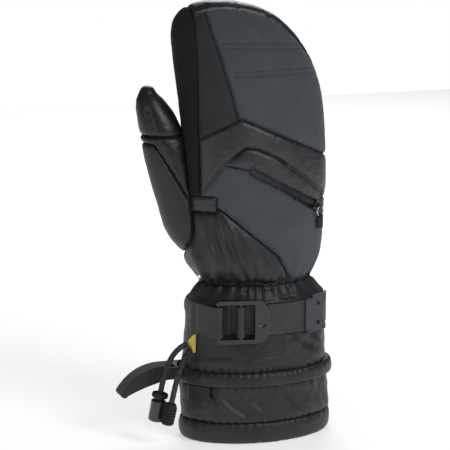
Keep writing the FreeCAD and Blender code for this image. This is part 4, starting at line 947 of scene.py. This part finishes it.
def cuff_plan(first, last, stand, half_width=59.0, half_depth=37.0):
    """A line on the back of the wrist, between two x, that stands off the cuff."""
    plan = []
    count = 60
    for number in range(count + 1):
        x = first + (last - first) * number / count
        wide, deep = half_width + stand, half_depth + stand
        plan.append((x, -deep * math.sqrt(max(0.0, 1 - (x / wide) ** 2))))
    return plan


def turn_round(centre, radius, first, last, count=28):
    """Part of a circle seen from above, from one angle in degrees to another."""
    angles = [math.radians(first + (last - first) * n / count) for n in range(count + 1)]
    return [(centre[0] + radius * math.cos(a), centre[1] + radius * math.sin(a)) for a in angles]


half_wall = WEBBING_WALL / 2
webbing_run("wrist_strap", cuff_plan(-21.0, 57.9, half_wall), STRAP_LOW, STRAP_HIGH, webbing, "mitten", "webbing",
            "strap")
anchor_plan = [(-55.0, -14.9), (-54.2, -18.0), (-50.0, -27.0)] + turn_round(HINGE_BAR, 3.1, 200, 390)
webbing_run("anchor_webbing", anchor_plan, STRAP_LOW, STRAP_HIGH, webbing, "mitten", "webbing", "strap_anchor")
webbing_run("anchor_foot", cuff_plan(-53.5, -31.3, half_wall), STRAP_LOW, STRAP_HIGH, webbing, "mitten", "webbing")
webbing_run("bar_roll", turn_round(MIDDLE_BAR, 2.8, 20, 375, 40), STRAP_LOW, STRAP_HIGH, webbing, "buckle",
            "webbing", "strap_loop", wall=1.5)
TAIL_CENTRE_Y = 57.08
TAIL_RADIUS = 96.78
tail_plan = [
    (x, TAIL_CENTRE_Y - math.sqrt(TAIL_RADIUS**2 - x * x)) for x in np.linspace(-14.2, 30.3, 46)
]
webbing_run("strap_tail_webbing", tail_plan, STRAP_LOW, STRAP_HIGH, webbing, "strap_tail", "webbing", "strap_tail")


def soft_cast(label, name, step, rounds, body, slot, finish, angle=60):
    """A moulded or sewn piece with its edges rounded off."""
    piece = welded(name, label)
    remesh(piece, step)
    apply(piece, "SMOOTH", factor=0.5, iterations=rounds)
    smooth_look(piece, angle)
    return settle(piece, body, slot, finish, label)


soft_cast("buckle", "ladder_buckle", 0.35, 9, "buckle", "moulded_plastic", acetal)
soft_cast("strap_end", "strap_end_grip", 0.35, 3, "strap_tail", "moulded_plastic", soft_plastic)
soft_cast("strap_patch", "pointed_patch", 0.4, 2, "mitten", "suede", patch_nylon)
soft_cast("webbing_tab", "hem_webbing_tab", 0.4, 2, "mitten", "webbing", flat_webbing)
soft_cast("pull_anchor", "pull_loop", 0.45, 3, "mitten", "webbing", flat_webbing)
soft_cast("soft_pull", "curved_soft_pull", 0.7, 4, "soft_pull", "soft_rubber", foam_grip)
soft_cast("cord_tab", "swallow_tail", 0.3, 2, "mitten", "yellow_tab", yellow)
soft_cast("zip_slider", "slider_body", 0.2, 2, "zip_slider", "dark_metal", enamel)
soft_cast("puller_tab", "moulded_puller", 0.2, 2, "zip_puller", "soft_rubber", rubber)
barrel = soft_cast("lock_barrel", "lock_cup", 0.3, 3, "cord_lock", "moulded_plastic", glossy)
plunger = soft_cast("lock_plunger", "lock_button", 0.3, 2, "lock_plunger", "soft_rubber", rubber)
end_cap = soft_cast("cord_end", "ribbed_end", 0.25, 2, "mitten", "soft_rubber", rubber)
dress(nodes["puller_ring"], nickel)
spring = settle(welded("button_spring", "lock_spring"), "cord_lock", "bright_metal", steel, "lock_spring")
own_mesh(spring)

# ------------------------------------------------------------------ braided ends of the drawcord

BRAID_PITCH = 5.2
BRAID_LUMPS = 3
BRAID_STEP = 0.33
BRAID_DEPTH = 0.55
BRAID_SIDES = 26


def braided_cord(name, route):
    """A braid: a tube whose surface rises along two families of strands that cross."""
    mesh = smooth_line([at(*place) for place in route], 3, 16)
    line = even_line([tuple(vertex.co / MM) for vertex in mesh.vertices], BRAID_STEP)
    build = bmesh.new()
    uv = build.loops.layers.uv.new("UVMap")
    rings = []
    done = 0.0
    side_way = Vector((0, 1, 0))
    for index, place in enumerate(line):
        before, after = line[max(0, index - 1)], line[min(len(line) - 1, index + 1)]
        way = (Vector(after) - Vector(before)).normalized()
        side_way = (side_way - way * side_way.dot(way)).normalized()
        other = way.cross(side_way)
        ring = []
        for number in range(BRAID_SIDES):
            angle = math.tau * number / BRAID_SIDES
            one = math.sin(BRAID_LUMPS * angle + math.tau * done / BRAID_PITCH)
            two = math.sin(BRAID_LUMPS * angle - math.tau * done / BRAID_PITCH)
            radius = CORD_DIAMETER / 2 - BRAID_DEPTH + BRAID_DEPTH * abs(max(one, two)) ** 0.7
            spot = Vector(place) + (side_way * math.cos(angle) + other * math.sin(angle)) * radius
            ring.append(build.verts.new(spot * MM))
        rings.append((ring, done))
        if index < len(line) - 1:
            done += math.dist(place, line[index + 1])
    for (first, low), (second, high) in zip(rings, rings[1:]):
        for number in range(BRAID_SIDES):
            after = (number + 1) % BRAID_SIDES
            face = build.faces.new((first[number], first[after], second[after], second[number]))
            turn = CORD_DIAMETER * math.pi / BRAID_SIDES
            marks = ((number, low), (number + 1, low), (number + 1, high), (number, high))
            for loop, (across, along) in zip(face.loops, marks):
                loop[uv].uv = (along * MM, across * turn * MM)
    close_ends(build, [ring for ring, _ in rings])
    return finished(build, name, 70), [tuple(c * MM for c in p) for p in line]


lock_cord, lock_line = braided_cord("lock_cord", LOCK_ROUTE)
settle(lock_cord, "mitten", "cord", cord_braid, "lock_leg")
end_cord, end_line = braided_cord("end_cord", END_ROUTE)
settle(end_cord, "mitten", "cord", cord_braid, "end_leg")

# ------------------------------------------------------------------ the zip

zip_joint = next(joint for joint in frame["record"]["behaviour"]["joints"] if joint["name"] == "zip_slide")
zip_pivot = Vector(zip_joint["pos_m"])
zip_axis = Vector(zip_joint["axis"]).normalized()


def on_arc(point):
    """A point's radius, angle and height in the zip's own round frame."""
    gap = point - zip_pivot
    height = gap.dot(zip_axis)
    flat = gap - zip_axis * height
    return flat.length, math.atan2(flat.dot(ARC_SIDE), flat.dot(ARC_OUT)), height


ARC_OUT = (Vector((0, -1, 0)) - zip_axis * Vector((0, -1, 0)).dot(zip_axis)).normalized()
ARC_SIDE = zip_axis.cross(ARC_OUT)


def arc_place(radius, angle, height):
    return zip_pivot + (ARC_OUT * math.cos(angle) + ARC_SIDE * math.sin(angle)) * radius + zip_axis * height


def arc_range(label):
    spots = [on_arc(vertex.co) for vertex in nodes[label].data.vertices]
    return [(min(s[i] for s in spots), max(s[i] for s in spots)) for i in range(3)]


COIL_INSET = 0.75
COIL_PITCH = 1.05


def one_coil_turn():
    """One turn of the coil: a rounded bar across the chain with a swollen head."""
    deselect()
    bpy.ops.mesh.primitive_cylinder_add(vertices=6, radius=0.42 * MM, depth=2.5 * MM, rotation=(0, 0, 0))
    turn = bpy.context.active_object
    bpy.ops.object.transform_apply(location=False, rotation=True, scale=False)
    bpy.ops.object.mode_set(mode="EDIT")
    mesh = bmesh.from_edit_mesh(turn.data)
    for face in mesh.faces:
        face.select_set(face.normal.z > 0.9)
    bmesh.update_edit_mesh(turn.data)
    bpy.ops.mesh.extrude_region_move(TRANSFORM_OT_translate={"value": (0, 0, 0.7 * MM)})
    bpy.ops.transform.resize(value=(1.3, 1.3, 1))
    bpy.ops.object.mode_set(mode="OBJECT")
    return turn


def zip_coil():
    (low, high), (first, last), _ = arc_range("zip_chain")
    turn = one_coil_turn()
    radius = high - COIL_INSET * MM
    pitch = COIL_PITCH * MM / radius
    build = bmesh.new()
    count = int((last - first) / pitch)
    for number in range(count):
        side = 1 if number % 2 else -1
        angle = first + (number + 0.5) * pitch
        out = (arc_place(radius + MM, angle, 0) - arc_place(radius, angle, 0)).normalized()
        across = zip_axis * side
        along = across.cross(out)
        start = len(build.verts)
        build.from_mesh(turn.data)
        build.verts.ensure_lookup_table()
        place = arc_place(radius, angle, -side * 0.35 * MM)
        basis = Matrix((along, out, -across)).transposed().to_4x4()
        moved = build.verts[start:]
        bmesh.ops.transform(build, matrix=Matrix.Translation(place) @ basis, verts=moved)
    bpy.data.objects.remove(turn)
    # The coil's finish is lightened as a painted highlight along the zip.
    return settle(finished(build, "zip_coil", 50), "mitten", "zip_coil", coil_painted_highlight, "zip_chain")


def zip_tape_cloth():
    """The woven tape under the coil, one band with a groove along its middle."""
    (low, high), (first, last), (down, up) = arc_range("zip_tape")
    deselect()
    bpy.ops.mesh.primitive_grid_add(x_subdivisions=60, y_subdivisions=12, size=1, calc_uvs=True)
    piece = bpy.context.active_object
    piece.name = "zip_tape_cloth"
    for vertex in piece.data.vertices:
        u, v = vertex.co.x + 0.5, vertex.co.y + 0.5
        groove = 0.35 * MM * math.exp(-((v - 0.5) * 14) ** 2)
        vertex.co = arc_place((low + high) / 2 - groove, first + (last - first) * u, down + (up - down) * v)
    for corner in piece.data.uv_layers.active.data:
        corner.uv = (corner.uv.x * (last - first) * high, corner.uv.y * (up - down))
    apply(piece, "SOLIDIFY", thickness=0.5 * MM, offset=0)
    faces_out(piece)
    smooth_look(piece, 50)
    return settle(piece, "mitten", "zip_tape", tape_cloth, "zip_tape")


zip_coil()
zip_tape_cloth()

# ------------------------------------------------------------------ piping and rows of stitches


hand_surface = surface_of(shell.values())
cuff_surface = surface_of([bpy.data.objects[name] for name in ("gauntlet_cloth", "rolled_fold", "turned_hem")])


def on_front_of(tree, line, step):
    """Points and normals where a line of (x, z) runs meets a surface, seen from the back of the hand."""
    found = []
    for x, z in even_line(line, step):
        spot, normal, _, _ = tree.ray_cast(at(x, -80, z), Vector((0, 1, 0)))
        if spot is not None:
            found.append((spot, normal))
    return found


def on_back(line, step):
    """The same on the hand, without its sides and its far half."""
    spots = on_front_of(hand_surface, line, step)
    return [(spot, normal) for spot, normal in spots if spot.y < 12 * MM and normal.y < -0.12]


def round_cuff(z, first, last, step, wobble=0.0):
    """Points and normals round the cuff at a height, between two angles in degrees."""
    found = []
    count = int(abs(last - first) * math.pi / 180 * 52 / step)
    for number in range(count + 1):
        angle = math.radians(first + (last - first) * number / count)
        way = Vector((math.cos(angle), math.sin(angle), 0))
        height = z + wobble * math.sin(9 * angle)
        spot, normal, _, _ = cuff_surface.ray_cast(way * 0.15 + Vector((0, 0, height * MM)), -way)
        if spot is not None:
            found.append((spot, normal))
    return found


STITCH = 2.9
THREAD_WIDTH = 0.42
STITCH_FILL = 0.62


def stitch_row(name, spots, body="mitten"):
    """Short laid stitches along a row of surface points, each half sunk in the cloth."""
    build = bmesh.new()
    for (spot, normal), (ahead, _) in zip(spots, spots[1:]):
        way = ahead - spot
        if way.length > 6 * MM or way.length < 0.4 * MM:
            continue
        middle = (spot + ahead) / 2 + normal * 0.10 * MM
        long = way * STITCH_FILL / 2
        way = way.normalized()
        side = way.cross(normal).normalized()
        up = side.cross(way)
        rings = []
        for share, thick in ((-1.0, 0.35), (-0.6, 1.0), (0.6, 1.0), (1.0, 0.35)):
            centre = middle + long * share
            ring = []
            for number in range(6):
                angle = math.tau * number / 6
                reach = THREAD_WIDTH / 2 * thick * MM
                ring.append(build.verts.new(centre + (side * math.cos(angle) + up * math.sin(angle)) * reach))
            rings.append(ring)
        for first, second in zip(rings, rings[1:]):
            for number in range(6):
                after = (number + 1) % 6
                build.faces.new((first[number], first[after], second[after], second[number]))
        close_ends(build, rings)
    if not build.faces:
        build.free()
        return
    row = finished(build, name, 60)
    dress(row, thread)
    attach(row, body)


BACK_ROWS = {
    "band_top_row": shifted(BAND_TOP, 0, -2.0),
    "band_top_second_row": shifted(BAND_TOP, 0, 1.8),
    "band_low_row": shifted(BAND_LOW, -0.6, 2.6),
    "facing_row": shifted(ZIP_LINE, 0, 4.6),
    "pocket_zip_row": shifted(ZIP_LINE, -0.8, -4.8),
    "index_row": shifted(INDEX_SEAM, 1.8, 0),
    "wrist_row": shifted(WRIST_SEAM, 1.2, 1.8),
    "cross_row_0_a": QUILT_LOW,
    "cross_row_0_b": shifted(QUILT_LOW, 0, 3.6),
    "cross_row_1_a": QUILT_HIGH,
    "cross_row_1_b": shifted(QUILT_HIGH, 0, 3.6),
    "crotch_row": [(-66, 185.6), (-50, 187.0), (-37, 190.4)],
}
for name, line in BACK_ROWS.items():
    stitch_row(name, on_back(line, STITCH))
stitch_row("hem_row", round_cuff(HEM_Z + 1.0, 0, 360, 3.2))
stitch_row("fold_row", round_cuff(FOLD_HIGH - 0.6, 0, 360, 3.2, 0.25))
stitch_row("side_seam_row", [spot for z in range(20, 46, 3) for spot in round_cuff(z, -28, -26, 1.0)[:1]])
patch_edge = [(-49, 87.5), (-44.5, 85.2), (-32.6, 79.8), (-15.2, 72.6), (-11.4, 73.4), (0.2, 85.6)]

patch_tree = surface_of([bpy.data.objects["pointed_patch"]])
stitch_row("patch_row", on_front_of(patch_tree, patch_edge, 2.6))
anchor_tree = surface_of([bpy.data.objects["anchor_webbing"], bpy.data.objects["anchor_foot"]])
for number, x in enumerate((-37.2, -35.4)):
    stitch_row("anchor_row_%d" % number, on_front_of(anchor_tree, [(x, 91), (x, 113)], 2.4))


PIPING_WIDTH = 2.1


def piped_edge():
    """The leather-covered cord along the band's lower edge."""
    (low, high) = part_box("knuckle_piping")
    line = [p for p in BAND_LOW if p[0] < 60] + [(58.5, 191.5)]
    spots = on_back(line, 1.4)
    mesh = smooth_line([spot + normal * 0.25 * MM for spot, normal in spots], 4, 3, PIPING_WIDTH)
    piping = add_piece("knuckle_piping_roll", mesh)
    smooth_look(piping, 60)
    return settle(piping, "mitten", "leather", leather, "knuckle_piping")


piped_edge()

# ------------------------------------------------------------------ floor, backdrop and surroundings

deselect()
bpy.ops.mesh.primitive_plane_add(size=3.4, location=(0, 0, -0.0003))
floor = bpy.context.active_object
floor.name = "floor"
bpy.ops.object.transform_apply(location=True, rotation=True, scale=True)
paper, _, paper_surface = new_finish("white_paper")
paper_surface.inputs["Base Color"].default_value = colour("#f4f4f3")
paper_surface.inputs["Roughness"].default_value = 0.9
paper_surface.inputs["Emission Color"].default_value = (1, 1, 1, 1)
paper_surface.inputs["Emission Strength"].default_value = 0.5
dress(floor, paper)

# The room looks white, and lights the mitten less than it looks, as a white sheet far behind it does.
world = bpy.data.worlds.new("white_room")
world.use_nodes = True
room = world.node_tree
room.nodes["Background"].inputs["Color"].default_value = (1, 1, 1, 1)
ray = add_node(room, "LightPath")
glow = add_node(room, "MapRange", Value=(ray, "Is Camera Ray"), To_Min=0.20, To_Max=1.0)
room.links.new(glow.outputs["Result"], room.nodes["Background"].inputs["Strength"])
scene.world = world
